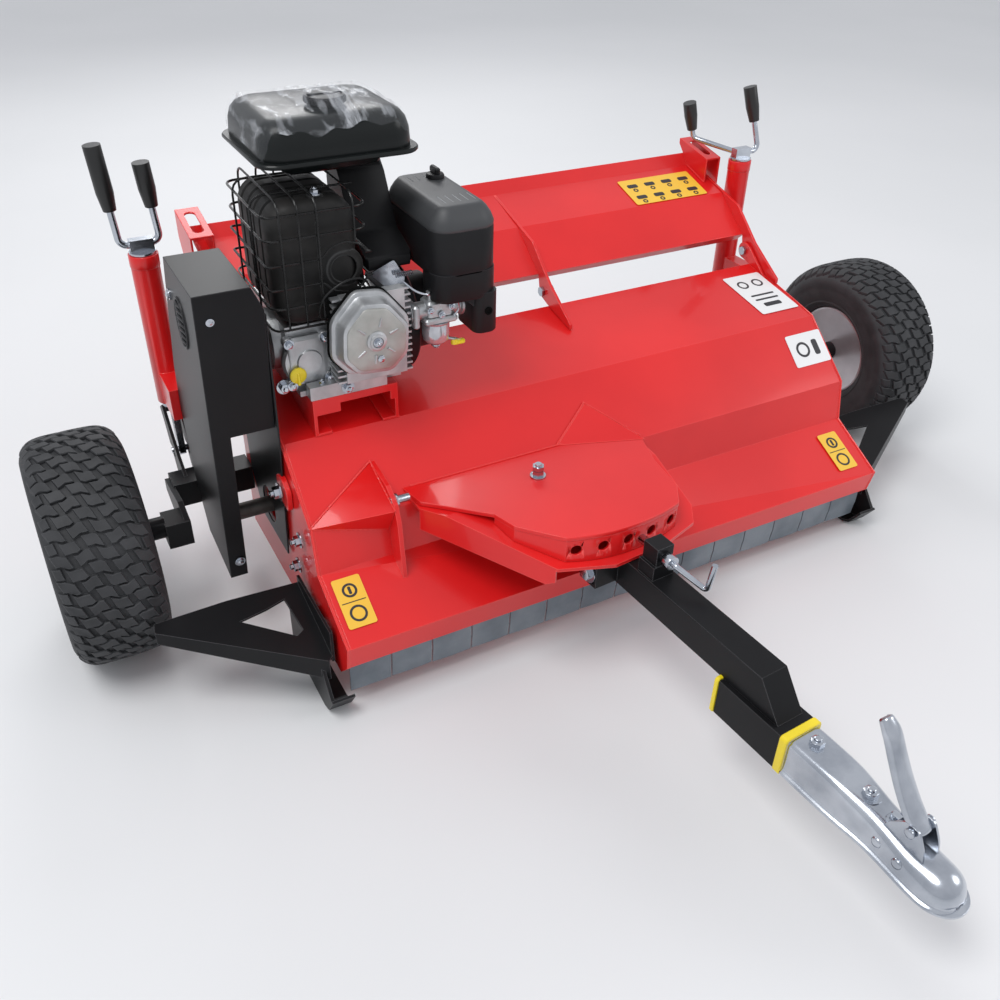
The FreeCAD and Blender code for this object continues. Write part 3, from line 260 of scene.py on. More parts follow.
MATERIALS = {name: node_material(name, **finish) for name, finish in FINISHES.items()}
EXTRA = {name: node_material(name, **finish) for name, finish in EXTRA_FINISHES.items()}
EXTRA["film"] = film_material()


# ---------- mesh helpers: a part is (points, faces) ----------
def join(*parts):
    points, faces = [], []
    for p, f in parts:
        start = len(points)
        points += [Vector(v) for v in p]
        faces += [[i + start for i in face] for face in f]
    return points, faces


def moved(part, matrix):
    return [matrix @ Vector(v) for v in part[0]], part[1]


def round_rect(a0, a1, b0, b1, r, steps=6):
    """Outline of a rectangle with round corners, anticlockwise."""
    outline = []
    for ca, cb, start in ((a1 - r, b1 - r, 0), (a0 + r, b1 - r, 90), (a0 + r, b0 + r, 180),
                          (a1 - r, b0 + r, 270)):
        for k in range(steps + 1):
            angle = math.radians(start + 90 * k / steps)
            outline.append((ca + r * math.cos(angle), cb + r * math.sin(angle)))
    return outline


def rounded(points, radius, steps=4):
    """The polygon with each corner replaced by a short curve."""
    outline = []
    count = len(points)
    for i in range(count):
        here = Vector(points[i])
        before = Vector(points[i - 1])
        after = Vector(points[(i + 1) % count])
        first = here + (before - here).normalized() * radius
        last = here + (after - here).normalized() * radius
        for k in range(steps + 1):
            t = k / steps
            outline.append(tuple(first * (1 - t) ** 2 + here * 2 * t * (1 - t) + last * t ** 2))
    return outline


def loft(rings, closed_ends=True):
    """Skin through rings of the same number of points."""
    count = len(rings[0])
    points = [Vector(p) for ring in rings for p in ring]
    faces = []
    for k in range(len(rings) - 1):
        for i in range(count):
            j = (i + 1) % count
            faces.append([k * count + i, k * count + j, (k + 1) * count + j, (k + 1) * count + i])
    if closed_ends:
        faces.append(list(range(count))[::-1])
        faces.append([(len(rings) - 1) * count + i for i in range(count)])
    return points, faces


def lathe(profile, steps=32):
    """Turned shape about +Z: the profile is (radius, height); radius 0 closes an end."""
    rings = []
    for r, z in profile:
        rings.append([(max(r, 0.01) * math.cos(2 * math.pi * k / steps),
                       max(r, 0.01) * math.sin(2 * math.pi * k / steps), z) for k in range(steps)])
    return loft(rings)


def aimed(part, position, axis):
    """The part's +Z turned along the axis and its origin moved to the position."""
    turn = Vector(axis).to_track_quat("Z", "Y").to_matrix().to_4x4()
    return moved(part, Matrix.Translation(position) @ turn)


def facing_front(part, y):
    """A part drawn flat in XY stood upright in XZ, with its drawn +Z to the front from y."""
    return moved(part, Matrix(((1, 0, 0, 0), (0, 0, -1, y), (0, 1, 0, 0), (0, 0, 0, 1))))


def prism(outline, depth):
    """Outline in XY drawn up along Z."""
    return loft([[(x, y, 0) for x, y in outline], [(x, y, depth) for x, y in outline]])


def block(x0, x1, y0, y1, z0, z1, r=1.5):
    """Box with round upright edges and a small chamfer at both ends."""
    inner = round_rect(x0 + r, x1 - r, y0 + r, y1 - r, r)
    outer = round_rect(x0, x1, y0, y1, 2 * r)
    levels = ((inner, z0), (outer, z0 + r), (outer, z1 - r), (inner, z1))
    return loft([[(x, y, z) for x, y in ring] for ring, z in levels])


def tube(path, radius, sides=10):
    """Round bar along a line of points."""
    path = [Vector(p) for p in path]
    rings = []
    side = None
    for i, point in enumerate(path):
        before = path[max(i - 1, 0)]
        after = path[min(i + 1, len(path) - 1)]
        along = (after - before).normalized()
        if side is None:
            side = along.orthogonal().normalized()
        side = (side - along * side.dot(along)).normalized()
        other = along.cross(side)
        r = radius[i] if isinstance(radius, (list, tuple)) else radius
        turns = [2 * math.pi * k / sides for k in range(sides)]
        rings.append([point + (side * math.cos(a) + other * math.sin(a)) * r for a in turns])
    return loft(rings)


def smooth_path(points, per_span=6):
    """Catmull-Rom line through the points."""
    points = [Vector(p) for p in points]
    ends = [points[0] * 2 - points[1]] + points + [points[-1] * 2 - points[-2]]
    line = []
    for a, b, c, d in zip(ends, ends[1:], ends[2:], ends[3:]):
        for k in range(per_span):
            t = k / per_span
            line.append(0.5 * (2 * b + (c - a) * t + (2 * a - 5 * b + 4 * c - d) * t ** 2
                               + (3 * b - a - 3 * c + d) * t ** 3))
    return line + [points[-1]]


def hexagon(across, height, chamfer=0.8):
    """Hexagonal head or nut with a chamfered crown."""
    r = across / math.sqrt(3)

    def ring(size, z):
        return [(size * math.cos(math.radians(60 * k)), size * math.sin(math.radians(60 * k)),
                 z) for k in range(6)]

    return loft([ring(r, 0), ring(r, height - chamfer), ring(r - chamfer * 1.6, height)])


def bolt(across=17, height=8, stub=6, dome=False):
    """Washer, nut or head, and the end of the thread."""
    washer = lathe([(0, 0), (across * 0.85, 0), (across * 0.85, 2), (0, 2)])
    if dome:
        cap = lathe([(across * 0.6, 2), (across * 0.58, 5), (across * 0.4, height),
                     (across * 0.15, height + 1.5),
                     (0, height + 1.6)])
        return join(washer, cap)
    head = moved(hexagon(across, height), Matrix.Translation((0, 0, 2)))
    thread = lathe([(across * 0.3, height + 1.5), (across * 0.3, height + 1 + stub),
                    (across * 0.22, height + 2 + stub), (0, height + 2 + stub)], 20)
    return join(washer, head, thread)


def weld(points, radius=2.2, seed=0):
    """A weld bead: a low rippled bar along a seam."""
    line = []
    points = [Vector(p) for p in points]
    for a, b in zip(points, points[1:]):
        steps = max(2, int((b - a).length / 3))
        line += [a.lerp(b, k / steps) for k in range(steps)]
    line.append(points[-1])
    radii = [radius * (0.85 + 0.25 * math.sin(i * 2.1 + seed) + 0.15 * noise.noise(p * 0.15))
             for i, p in enumerate(line)]
    return tube(line, radii, 8)


def piece(name, part, body, slot, material=None, matrix=LOCAL, replaces=(), bevel=0.0, smooth=40, levels=0,
          solid=0.0):
    """Makes the Blender object: bevels and subdivisions are modifiers, and it rides on its body."""
    points, faces = part
    mesh = bpy.data.meshes.new(name)
    mesh.from_pydata([tuple(matrix @ Vector(p)) for p in points], [], faces)
    mesh.validate()
    thing = bpy.data.objects.new(name, mesh)
    bpy.context.scene.collection.objects.link(thing)
    mesh.materials.append(material or MATERIALS[slot])
    for polygon in mesh.polygons:
        polygon.use_smooth = True
    mesh.set_sharp_from_angle(angle=math.radians(smooth))
    if solid:
        wall = thing.modifiers.new("wall", "SOLIDIFY")
        wall.thickness = solid * 0.001
    if bevel:
        edge = thing.modifiers.new("bevel", "BEVEL")
        edge.width = bevel * 0.001
        edge.segments = 3
        edge.limit_method = "ANGLE"
        edge.angle_limit = math.radians(smooth)
        edge.harden_normals = True
    if levels:
        skin = thing.modifiers.new("skin", "SUBSURF")
        skin.levels = levels
        skin.render_levels = levels
    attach(thing, body)
    if replaces:
        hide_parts(*replaces)
    return thing


# ---------- CAD nodes: materials and softened edges ----------
def dress_cad_nodes():
    slots = {s["node"]: s["material_slot"] for s in frame["record"]["subparts"]}
    plain = ("tyre", "rotor", "flails", "drive_belts", "fuel_tank", "muffler")
    for node, thing in frame["nodes"].items():
        material = MATERIALS[slots[node]]
        if not thing.material_slots:
            thing.data.materials.append(material)
        for holder in thing.material_slots:
            holder.link = "OBJECT"
            holder.material = material
        if node.startswith(plain):
            continue
        weld_points = thing.modifiers.new("weld", "WELD")
        weld_points.merge_threshold = 0.00002
        edge = thing.modifiers.new("bevel", "BEVEL")
        edge.width = 0.0012
        edge.segments = 2
        edge.limit_method = "ANGLE"
        edge.angle_limit = math.radians(35)
        edge.harden_normals = True


# ---------- wheels ----------
TYRE_R, TREAD_HALF = 204.6, 78.0
TREAD_ROWS, TREAD_COLUMNS = 58, 5
BLOCK_DEPTH = 6.5
WHEEL_X, RIM_HALF, NUT_CIRCLE = 888.4, 57, 45


def tread_radius(x):
    return TYRE_R - 20.6 * (abs(x) / TREAD_HALF) ** 6 - 1.5 * (abs(x) / TREAD_HALF) ** 2


def tread_block(x0, x1, angle, pitch):
    """One wavy block of the turf tread: samples along its two long edges, drawn out radially."""
    across = 5
    rings = []
    for shrink, depth in ((0.0, -BLOCK_DEPTH), (0.0, -1.6), (1.5, 0.0)):
        ring = []
        samples = [(0, k / across) for k in range(across)] + [(1, 1 - k / across) for k in range(across)]
        for edge, t in samples:
            x = x0 + shrink + (x1 - x0 - 2 * shrink) * t
            wave = 3.6 * math.sin(x * 2 * math.pi / 58) + 1.2 * math.sin(x * 2 * math.pi / 19)
            inset = 1.6 + shrink * 0.8
            y = -pitch / 2 + inset if edge == 0 else pitch / 2 - inset
            theta = angle + (y + wave) / TYRE_R
            r = tread_radius(x) + depth
            ring.append((x, r * math.cos(theta), r * math.sin(theta)))
        rings.append(ring)
    return loft(rings)


def tyre_part():
    pitch = 2 * math.pi * TYRE_R / TREAD_ROWS
    width = 2 * TREAD_HALF / (TREAD_COLUMNS - 0.5)
    blocks = []
    for row in range(TREAD_ROWS):
        angle = 2 * math.pi * row / TREAD_ROWS
        start = -TREAD_HALF - (row % 2) * width / 2
        for column in range(TREAD_COLUMNS + 1):
            x0 = max(start + column * width + 1.4, -TREAD_HALF)
            x1 = min(start + (column + 1) * width - 1.4, TREAD_HALF)
            if x1 - x0 > 8:
                blocks.append(tread_block(x0, x1, angle, pitch))
    outside = [(x, tread_radius(x) - BLOCK_DEPTH + 0.5) for x in (-76, -70, -60, -40, -20, 0, 20, 40, 60, 70,
                                                                  76)]
    right = [(79.5, 176), (82, 168), (82.6, 158), (81.6, 156), (82.2, 146), (80.5, 132), (77, 122), (78, 119),
             (74, 112), (66, 107), (59, 104.4), (54, 105), (60, 118), (68, 150), (64, 180)]
    left = [(-x, r) for x, r in right[::-1]]
    profile = outside + right + left
    steps = 96
    rings = [[(x, r * math.cos(2 * math.pi * k / steps), r * math.sin(2 * math.pi * k / steps)) for x,
              r in profile]
             for k in range(steps)]
    points, faces = loft(rings + rings[:1], False)
    return join((points, faces), *blocks)


def make_tyres():
    part = tyre_part()
    for side, sign in (("left", -1), ("right", 1)):
        low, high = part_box("rim_" + side)
        centre = Vector(((low.x + high.x) / 2, (low.y + high.y) / 2, (low.z + high.z) / 2))
        matrix = Matrix.Translation(centre) @ Matrix.Scale(0.001, 4)
        matrix.translation.z = TYRE_R * 0.001
        piece("turf_tyre_" + side, part, "wheel_" + side, "tyre_rubber", matrix=matrix,
              replaces=("tyre_" + side,),
              smooth=35)
        ring = lathe([(99, 0), (103, 0.6), (104.6, 3), (103.6, 6), (100, 7), (97, 5)], 72)
        outer = aimed(ring, (sign * (WHEEL_X + RIM_HALF), 0, TYRE_R), (sign, 0, 0))
        inner = aimed(ring, (sign * (WHEEL_X - RIM_HALF), 0, TYRE_R), (-sign, 0, 0))
        stem = lathe([(4, 0), (4, 14), (3, 15), (3, 24), (0, 24.5)], 16)
        stem = aimed(stem, (sign * 900, 74, TYRE_R + 20), (sign, 0, 0))
        piece("rim_edges_" + side, join(outer, inner), "wheel_" + side, "rim_paint")
        piece("tyre_valve_" + side, stem, "wheel_" + side, "grip_plastic")
        nuts = []
        for k in range(4):
            angle = math.radians(90 * k + 45)
            y, z = NUT_CIRCLE * math.cos(angle), TYRE_R + NUT_CIRCLE * math.sin(angle)
            nuts.append(aimed(bolt(15, 8, 3), (sign * 898, y, z), (sign, 0, 0)))
            nuts.append(aimed(bolt(13, 6, 2), (sign * 888.5, y, z), (-sign, 0, 0)))
        piece("wheel_nuts_" + side, join(*nuts), "wheel_" + side, "zinc")


# ---------- engine ----------
FAN_FACE = (-344, -35, 545)
TANK = (-541, -299, -103, 113)
CAP_X, CAP_Y = -418, -32


def make_air_filter():
    x0, x1, y0, y1 = -307, -193, -183, 36

    def ring(inset, z, r=34.0):
        outline = round_rect(x0 + inset, x1 - inset, y0 + inset, y1 - inset, max(r - inset, 6), 10)
        return [(x, y, z) for x, y in outline]

    body = loft([ring(1.5, 655), ring(0, 658), ring(0, 727), ring(1.2, 729.5)])
    front = loft([[(x, y, z) for x, y in round_rect(x0 + i, x1 - i, y0 + i, -104 - i, 30 - i, 10)]
                  for i, z in ((2, 612), (0, 616), (0, 660))])
    leg = loft([[(x, y, z) for x, y in round_rect(-238 + i, x1 - i, y0 + i, -104 - i, 17 - i, 10)]
                for i, z in ((2, 548), (0, 551), (0, 620))])
    fillet = prism(rounded([(-300, 616), (-237, 616), (-237, 596), (-246, 606), (-262, 612)], 2), 60)
    fillet = facing_front(fillet, -116)
    piece("air_filter_case", join(body, front, leg, fillet), "deck", "black_plastic",
          replaces=("air_filter",),
          smooth=50)
    lid = loft([ring(1.6, 729), ring(0.2, 731), ring(0, 736), ring(5, 748), ring(12, 758), ring(18, 764),
                ring(22, 765.6), ring(26, 766)])
    piece("air_filter_lid", lid, "deck", "black_plastic", EXTRA["lid_grey"], smooth=50)
    ribs = []
    for k in range(5):
        x = -276 + 13 * k
        ribs.append(tube([(x + 4, -146, 765.4), (x + 4, -114, 766)], 0.8, 6))
        ribs.append(tube([(x + 2, -24, 766), (x + 2, 4, 765.4)], 0.8, 6))
    piece("air_filter_ribs", join(*ribs), "deck", "black_plastic", EXTRA["rib_pale"])
    # A shallow near-black dish: painted shade inside the hole in the air filter case.
    hole = aimed(lathe([(7, 0), (7, 1.2), (4.2, 1.4), (3.6, -2), (0, -2)], 24), (-214, -183.2, 588), FRONT)
    piece("air_filter_hole_shade", hole, "deck", "black_plastic", EXTRA["gasket_and_hole_shade"])
    knob = lathe([(15, 760.5), (15.6, 762), (15.6, 770), (14, 773), (11, 774), (0, 774)], 40)
    bar = block(-5, 5, -14, 14, 773, 784, 2.4)
    knob = moved(join(knob, bar), Matrix.Translation((-232, -20, 0)))
    piece("filter_knob", knob, "air_filter_knob", "black_plastic", replaces=("air_filter_knob",))


def make_muffler():
    x0, x1, z0, z1 = -552, -412, 595, 790

    def ring(y, inset, r=36.0):
        outline = round_rect(x0 + inset, x1 - inset, z0 + inset, z1 - inset, max(r - inset * 0.5, 8), 8)
        return [(x, y, z) for x, z in outline]

    rings = [ring(-124, 26), ring(-122.6, 16), ring(-119, 8), ring(-113, 3), ring(-104, 0.4), ring(-90, 0)]
    for k in range(4):
        y = -82 + 32 * k
        rings += [ring(y, 0), ring(y + 3, 4), ring(y + 9, 4.6), ring(y + 12, 0.6)]
    rings += [ring(40, 0.5), ring(50, 6), ring(54, 16), ring(55, 26)]
    centre = (-440, -122, 680)
    collar = aimed(lathe([(34, -3), (29, 1.5), (25, 3), (22.5, 3.2), (21.4, 2.0), (21, -14), (0, -14)], 36),
                   centre, FRONT)
    rib = block(-480, -477, -126, -60, 640, 760, 1)
    tab = moved(block(-12, 12, -7, 7, 0, 4, 1), Matrix.Translation((-468, -96, 789)))
    lug = aimed(bolt(12, 6, 3), (-468, -96, 793), UP)
    pipe = aimed(lathe([(17, 0), (17, 18), (20, 18), (20, 22), (0, 22)], 28), (-413, -60, 640), RIGHT)
    piece("muffler_shell", join(loft(rings), collar, pipe, rib, tab), "deck", "muffler_black",
          replaces=("muffler",), smooth=30)
    piece("muffler_bolt", lug, "deck", "zinc")
    # A near-black cup in the outlet: painted shade inside the muffler mouth.
    mouth = aimed(lathe([(21.2, -9), (21.0, 1.4), (20.2, 1.0), (19.8, -8), (0, -8.4)], 36), centre, FRONT)
    piece("muffler_mouth_shade", mouth, "deck", "muffler_black", EXTRA["gasket_and_hole_shade"])


def round_corners(points, bend, steps=5):
    """Open line of points with its inner corners bent to a radius."""
    line = [Vector(points[0])]
    for before, here, after in zip(points, points[1:], points[2:]):
        here = Vector(here)
        first = here + (Vector(before) - here).normalized() * bend
        last = here + (Vector(after) - here).normalized() * bend
        for k in range(steps + 1):
            t = k / steps
            line.append(first * (1 - t) ** 2 + here * 2 * t * (1 - t) + last * t ** 2)
    return line + [Vector(points[-1])]


def make_cage():
    """Wire guard round the muffler: hoops with round corners, and wires that rise and bend over the top."""
    x0, x1, y0, y1 = -564, -400, -136, 62
    hoops = []
    for z, dip in ((600, 0), (636, 0), (668, -22), (706, 22), (744, 0), (780, 0)):
        front = [(x1 - 1, y0, z)]
        if dip:
            front = [(x1 - 1, y0, z), (-404, y0, z), (-416, y0, z + dip * 0.7), (-440, y0, z + dip),
                     (-464, y0, z + dip * 0.7), (-478, y0, z)]
        path = [(x1, y0 + 62, z)] + front + [(x0, y0, z), (x0, y1, z), (x1, y1, z)]
        path = path[:1] + round_corners(path, 22 if not dip else 7)[1:]
        hoops.append(tube(path, 2.0, 8))
    for x in (-540, -511, -482, -424):
        path = [(x, y0 - 3.4, 602), (x, y0 - 3.4, 802), (x, y1 + 3.4, 802), (x, y1 + 3.4, 602)]
        if x == -424:
            path[0] = (x, y0 - 3.4, 728)
        hoops.append(tube(round_corners(path, 26), 1.8, 8))
    for y in (-80, 10):
        hoops.append(tube(round_corners([(x0 - 1.6, y, 602), (x0 - 1.6, y, 797), (x1 - 2, y, 797)], 24), 1.8,
                          8))
    loop = [(-470, -140, 602), (-492, -144, 618), (-484, -150, 650), (-450, -154, 672), (-418, -150, 668),
            (-404, -144, 640), (-402, -138, 606)]
    hoops.append(tube(smooth_path(loop), 1.8, 8))
    piece("cage_wires", join(*hoops), "deck", "muffler_black", EXTRA["wire_black"],
          replaces=("muffler_cage",))


def scaled_outline(outline, centre, grow):
    return [(centre[0] + (x - centre[0]) * grow, centre[1] + (z - centre[1]) * grow) for x, z in outline]


def make_rocker_cover():
    corners = [(-462, 522), (-392, 516), (-358, 548), (-354, 604), (-396, 656), (-444, 662), (-486, 618),
               (-490, 556)]
    centre = (-424, 588)
    outline = rounded(corners, 11)

    def ring(grow, y):
        return [(x, y, z) for x, z in scaled_outline(outline, centre, grow)][::-1]

    gasket_and_hole_shade = loft([ring(1.035, -163), ring(1.035, -167.5)])
    flange = loft([ring(1.0, -167.4), ring(1.0, -174), ring(0.985, -176), ring(0.90, -177), ring(0.875, -180),
                   ring(0.85, -196), ring(0.825, -201), ring(0.80, -202)])
    panel = loft([ring(0.745, -201.8), ring(0.735, -205), ring(0.70, -206.4), ring(0.4, -206.6)])
    boss = aimed(lathe([(17, 0), (16.4, 3), (13, 4.5), (12.6, 7), (9, 7.6), (8, 5.4), (0, 5.4)], 36),
                 (centre[0], -206, centre[1]), FRONT)
    ribs = []
    for angle in (20, 75, 140, 215, 265, 320):
        direction = Vector((math.cos(math.radians(angle)), 0, math.sin(math.radians(angle))))
        start = Vector((centre[0], -206.6, centre[1])) + direction * 24
        ribs.append(tube([start, start + direction * 15], [2.4, 1.4], 8))
    piece("rocker_gasket", gasket_and_hole_shade, "deck", "black_plastic", EXTRA["gasket_and_hole_shade"])
    piece("rocker_casting", join(flange, boss, *ribs), "deck", "cast_aluminium", replaces=("rocker_cover",),
          smooth=35)
    piece("rocker_panel", panel, "deck", "cast_aluminium", EXTRA["panel_beige"], smooth=35)
    stud = aimed(bolt(9, 5, 3), (centre[0], -211, centre[1]), FRONT)
    small = aimed(hexagon(11, 3), (-418, -206.4, 556), FRONT)
    piece("rocker_bolts", join(stud, small), "deck", "zinc")


def make_crankcase_details():
    corners = ((-540, 568), (-541, 494), (-480, 569), (-478, 496))
    cover = [aimed(lathe([(44, 0), (44, 7), (40, 11), (22, 13), (20, 17), (0, 17)], 40), (-508, -104, 530),
                   FRONT),
             block(-545, -474, -118, -100, 488, 574, 5)]
    for x, z in corners:
        cover.append(aimed(lathe([(9, 0), (9, 13), (7, 15), (0, 15)], 20), (x, -104, z), FRONT))
    for k in range(7):
        cover.append(block(-474, -452 + 2 * k, -132, -104, 500 + 11 * k, 503.5 + 11 * k, 0.8))
    spout = aimed(lathe([(13, 0), (12, 10), (10, 16), (9, 20), (0, 20)], 24), (-530, -100, 512), FRONT)
    drain = aimed(bolt(15, 9, 3), (-553, -108, 490), FRONT)
    piece("crankcase_cover", join(*cover, spout), "deck", "cast_aluminium", smooth=35)
    heads = [aimed(bolt(10, 6, 0.5), (x, -119, z), FRONT) for x, z in corners]
    rail_bolts = [aimed(bolt(13, 7, 4), (-455, -142, 483), FRONT),
                  aimed(bolt(8, 4, 2), (-495, -131, 494), UP),
                  aimed(bolt(8, 4, 2), (-402, -131, 494), UP)]
    piece("engine_bolts", join(drain, *heads, *rail_bolts), "deck", "zinc")
    disc = aimed(lathe([(8, -16), (8, -2), (13, -1), (14, 1), (14, 4), (12, 5.6), (0, 5.6)], 28),
                 (-531, -120, 512),
                 (0, -1, 0))
    tab = moved(block(-3, 3, -6.5, 0, -17, 6, 1.4), Matrix.Translation((-531, -121, 512)))
    piece("dipstick_cap", join(disc, tab), "dipstick", "yellow_plastic", replaces=("dipstick",))


def make_carburettor():
    bowl = moved(lathe([(0, 528), (6, 528), (6, 532), (17, 534), (22, 540), (23.4, 552), (23.4, 570),
                        (25, 571),
                        (26, 574)], 36), Matrix.Translation((-294, -145, 0)))
    lid = block(-322, -262, -168, -124, 573, 584, 3)
    body = block(-316, -268, -164, -128, 582, 612, 4)
    throat = aimed(lathe([(19, 0), (19, 4), (15, 6), (15, 90), (19, 92), (19, 96)], 32), (-344, -145, 594),
                   RIGHT)
    flange = moved(block(-6, 6, -24, 24, -20, 20, 3), Matrix.Translation((-337, -145, 592)))
    feed = tube([(-256, -150, 530), (-272, -150, 536), (-288, -146, 540)], 3.2, 8)
    stalk = [aimed(lathe([(4, 0), (4, 12), (6, 12), (6, 16), (0, 16)], 16), (x, -150, 611), UP)
             for x in (-306, -282)]
    piece("carburettor_body", join(lid, body, throat, flange, feed, *stalk), "deck", "cast_aluminium",
          replaces=("carburettor",))
    piece("float_bowl", bowl, "deck", "cast_aluminium", EXTRA["bowl_clear"])
    lever = tube(smooth_path([(-306, -156, 628), (-318, -172, 632), (-338, -168, 640), (-352, -150, 652)]),
                 1.8, 8)
    link = tube(smooth_path([(-282, -156, 628), (-268, -170, 618), (-262, -168, 596), (-270, -166, 584)]),
                1.6, 8)
    screws = [aimed(bolt(7, 3, 1), (x, -166, z), FRONT) for x, z in ((-312, 600), (-274, 602), (-292, 590))]
    nut = aimed(bolt(10, 5, 1), (-294, -145, 529), (0, 0, -1))
    outline = rounded([(-392, 655), (-348, 672), (-330, 640), (-336, 606), (-352, 604), (-368, 632)], 4)
    plate = facing_front(prism(outline, 2), -104)
    spring = tube([(-350 + 0.45 * k, -112 + 4 * math.cos(k * 0.9),
                    648 + 4 * math.sin(k * 0.9)) for k in range(70)],
                  0.8, 6)
    piece("throttle_linkage", join(lever, link, nut, plate, spring, *screws), "deck", "zinc")
    tap = join(moved(block(-10, 10, -5, 5, -4, 4, 2), Matrix.Translation((-253, -152, 527))),
               aimed(lathe([(6, 0), (6, 9), (0, 9)], 18), (-262, -150, 524), UP))
    piece("fuel_tap", tap, "deck", "yellow_plastic")


def make_blower():
    """Fan drum with its recoil cover, and the cooling shroud that narrows as it rises to the tank."""
    drum = aimed(lathe([(60, 0), (91, 0), (95, 3), (95, 28), (91, 32), (70, 36), (66, 42), (66, 76), (60, 81),
                        (30, 83), (28, 80), (0, 80)], 56), FAN_FACE, RIGHT)
    outline = rounded([(-98, 655), (70, 655), (70, 811), (34, 811), (8, 786), (-40, 700), (-98, 676)], 6)
    rings = []
    for x, grow in ((-392, 0.94), (-388, 1.0), (-316, 1.0), (-312, 0.94)):
        rings.append([(x, y, z) for y, z in scaled_outline(outline, (0, 710), grow)])
    ribs = [block(-388 + 12 * k, -384 + 12 * k, 6, 12, 690, 782, 1.2) for k in range(6)]
    slots = []
    for k in range(10):
        turn = Matrix.Rotation(math.radians(90), 4, "Y") @ Matrix.Rotation(math.radians(36 * k), 4, "Z")
        slots.append(moved(block(-2, 2, 34, 58, 78, 82.5, 1), Matrix.Translation(FAN_FACE) @ turn))
    piece("blower_case", join(drum, loft(rings), *ribs, *slots), "deck", "black_plastic",
          replaces=("blower_housing",), smooth=35)


def tank_ring(z, inset, r=36.0):
    x0, x1, y0, y1 = TANK
    outline = round_rect(x0 + inset, x1 - inset, y0 + inset, y1 - inset, max(r - inset * 0.4, 10), 8)
    return [(x, y, z) for x, y in outline]


def make_tank():
    pan = loft([tank_ring(811.5, 50), tank_ring(816, 42), tank_ring(836, 34), tank_ring(838, 30)])
    seam = loft([tank_ring(838, -8, 32), tank_ring(840, -9.5, 32), tank_ring(843, -9.5, 32),
                 tank_ring(845, -8, 32)])
    dome = loft([tank_ring(844, 0), tank_ring(850, -0.5), tank_ring(872, 1), tank_ring(886, 5),
                 tank_ring(895, 12),
                 tank_ring(900, 22), tank_ring(902.6, 40), tank_ring(903.6, 70)])
    piece("tank_shell", join(pan, seam, dome), "deck", "tank_paint", replaces=("fuel_tank",), smooth=35)
    neck = moved(lathe([(27, 901), (27, 906.6), (24, 907), (0, 907)], 40),
                 Matrix.Translation((CAP_X, CAP_Y, 0)))
    piece("tank_neck", neck, "deck", "tank_paint")
    cap = lathe([(26, 907.4), (31, 908), (31.5, 910), (31.5, 915), (29, 918), (22, 919), (0, 919)], 48)
    ribs = [moved(block(28, 32.4, -1.4, 1.4, 908.5, 916, 0.6), Matrix.Rotation(math.radians(15 * k), 4, "Z"))
            for k in range(24)]
    bar = block(-27, 27, -4, 4, 917, 921, 1)
    piece("tank_cap", moved(join(cap, bar, *ribs), Matrix.Translation((CAP_X, CAP_Y, 0))), "fuel_cap",
          "black_plastic",
          replaces=("fuel_cap",))


FILM_Z, CAP_RISE, CAP_REACH = 903.8, 17.2, 33
FILM_DROP = [(0, 0, 0), (14, 14, 1.0), (25.2, 24, 6.0), (36.6, 31, 15.0), (51.2, 35, 29.0), (90, 37.2, 67.0)]


def film_fall(distance):
    """How far out and how far down the tank's shoulder a distance along the film reaches."""
    for (d0, out0, down0), (d1, out1, down1) in zip(FILM_DROP, FILM_DROP[1:]):
        if distance <= d1:
            t = (distance - d0) / (d1 - d0)
            return out0 + (out1 - out0) * t, down0 + (down1 - down0) * t
    return FILM_DROP[-1][1], FILM_DROP[-1][2] + distance - FILM_DROP[-1][0]


def film_point(x, y):
    """Where a point of the film lies: flat over the tank's top, then down over its rounded shoulders."""
    core_x, core_y = min(max(x, -505), -335), min(max(y, -67), 77)
    away = Vector((x - core_x, y - core_y, 0))
    distance = away.length
    out, down = film_fall(distance)
    heading = away / distance if distance > 0 else away
    folds = noise.noise(Vector((x * 0.024, y * 0.013, 3.7))) + 0.5 * noise.noise(Vector((x * 0.06, y * 0.03,
                                                                                         8.1)))
    crease = 1 - 2 * abs(noise.noise(Vector((x * 0.03 + y * 0.02, y * 0.02 - x * 0.012, 1.3))))
    lift = max(0.7, 1.6 + 2.0 * folds + 2.6 * max(0.0, crease) ** 6)
    from_cap = math.hypot(x - CAP_X, y - CAP_Y)
    over_cap = CAP_RISE * math.exp(-max(0.0, from_cap - CAP_REACH) / 9)
    side = min(1.0, down / 30)
    sideways = heading * (out + lift * side)
    return (core_x + sideways.x, core_y + sideways.y, FILM_Z - down + lift * (1 - side) + over_cap)


def make_film():
    """Thin clear packing film that lies over the tank's top and hangs down its left side."""
    x0, x1, y0, y1, step = -579.0, -299.0, -109.0, 113.0, 2.0
    columns, rows = int((x1 - x0) / step), int((y1 - y0) / step)
    points = []
    for j in range(rows + 1):
        for i in range(columns + 1):
            x = x0 + i * step
            y = y0 + j * step
            torn = (4 * math.sin(x * 0.045) + 3 * math.sin(x * 0.13 + 1)) * max(0.0, 1 - j * step / 30)
            points.append(film_point(x, y + torn))
    faces = [[j * (columns + 1) + i, j * (columns + 1) + i + 1, (j + 1) * (columns + 1) + i + 1,
              (j + 1) * (columns + 1) + i] for j in range(rows) for i in range(columns)]
    film = piece("tank_film", (points, faces), "deck", "tank_paint", EXTRA["film"], smooth=180)


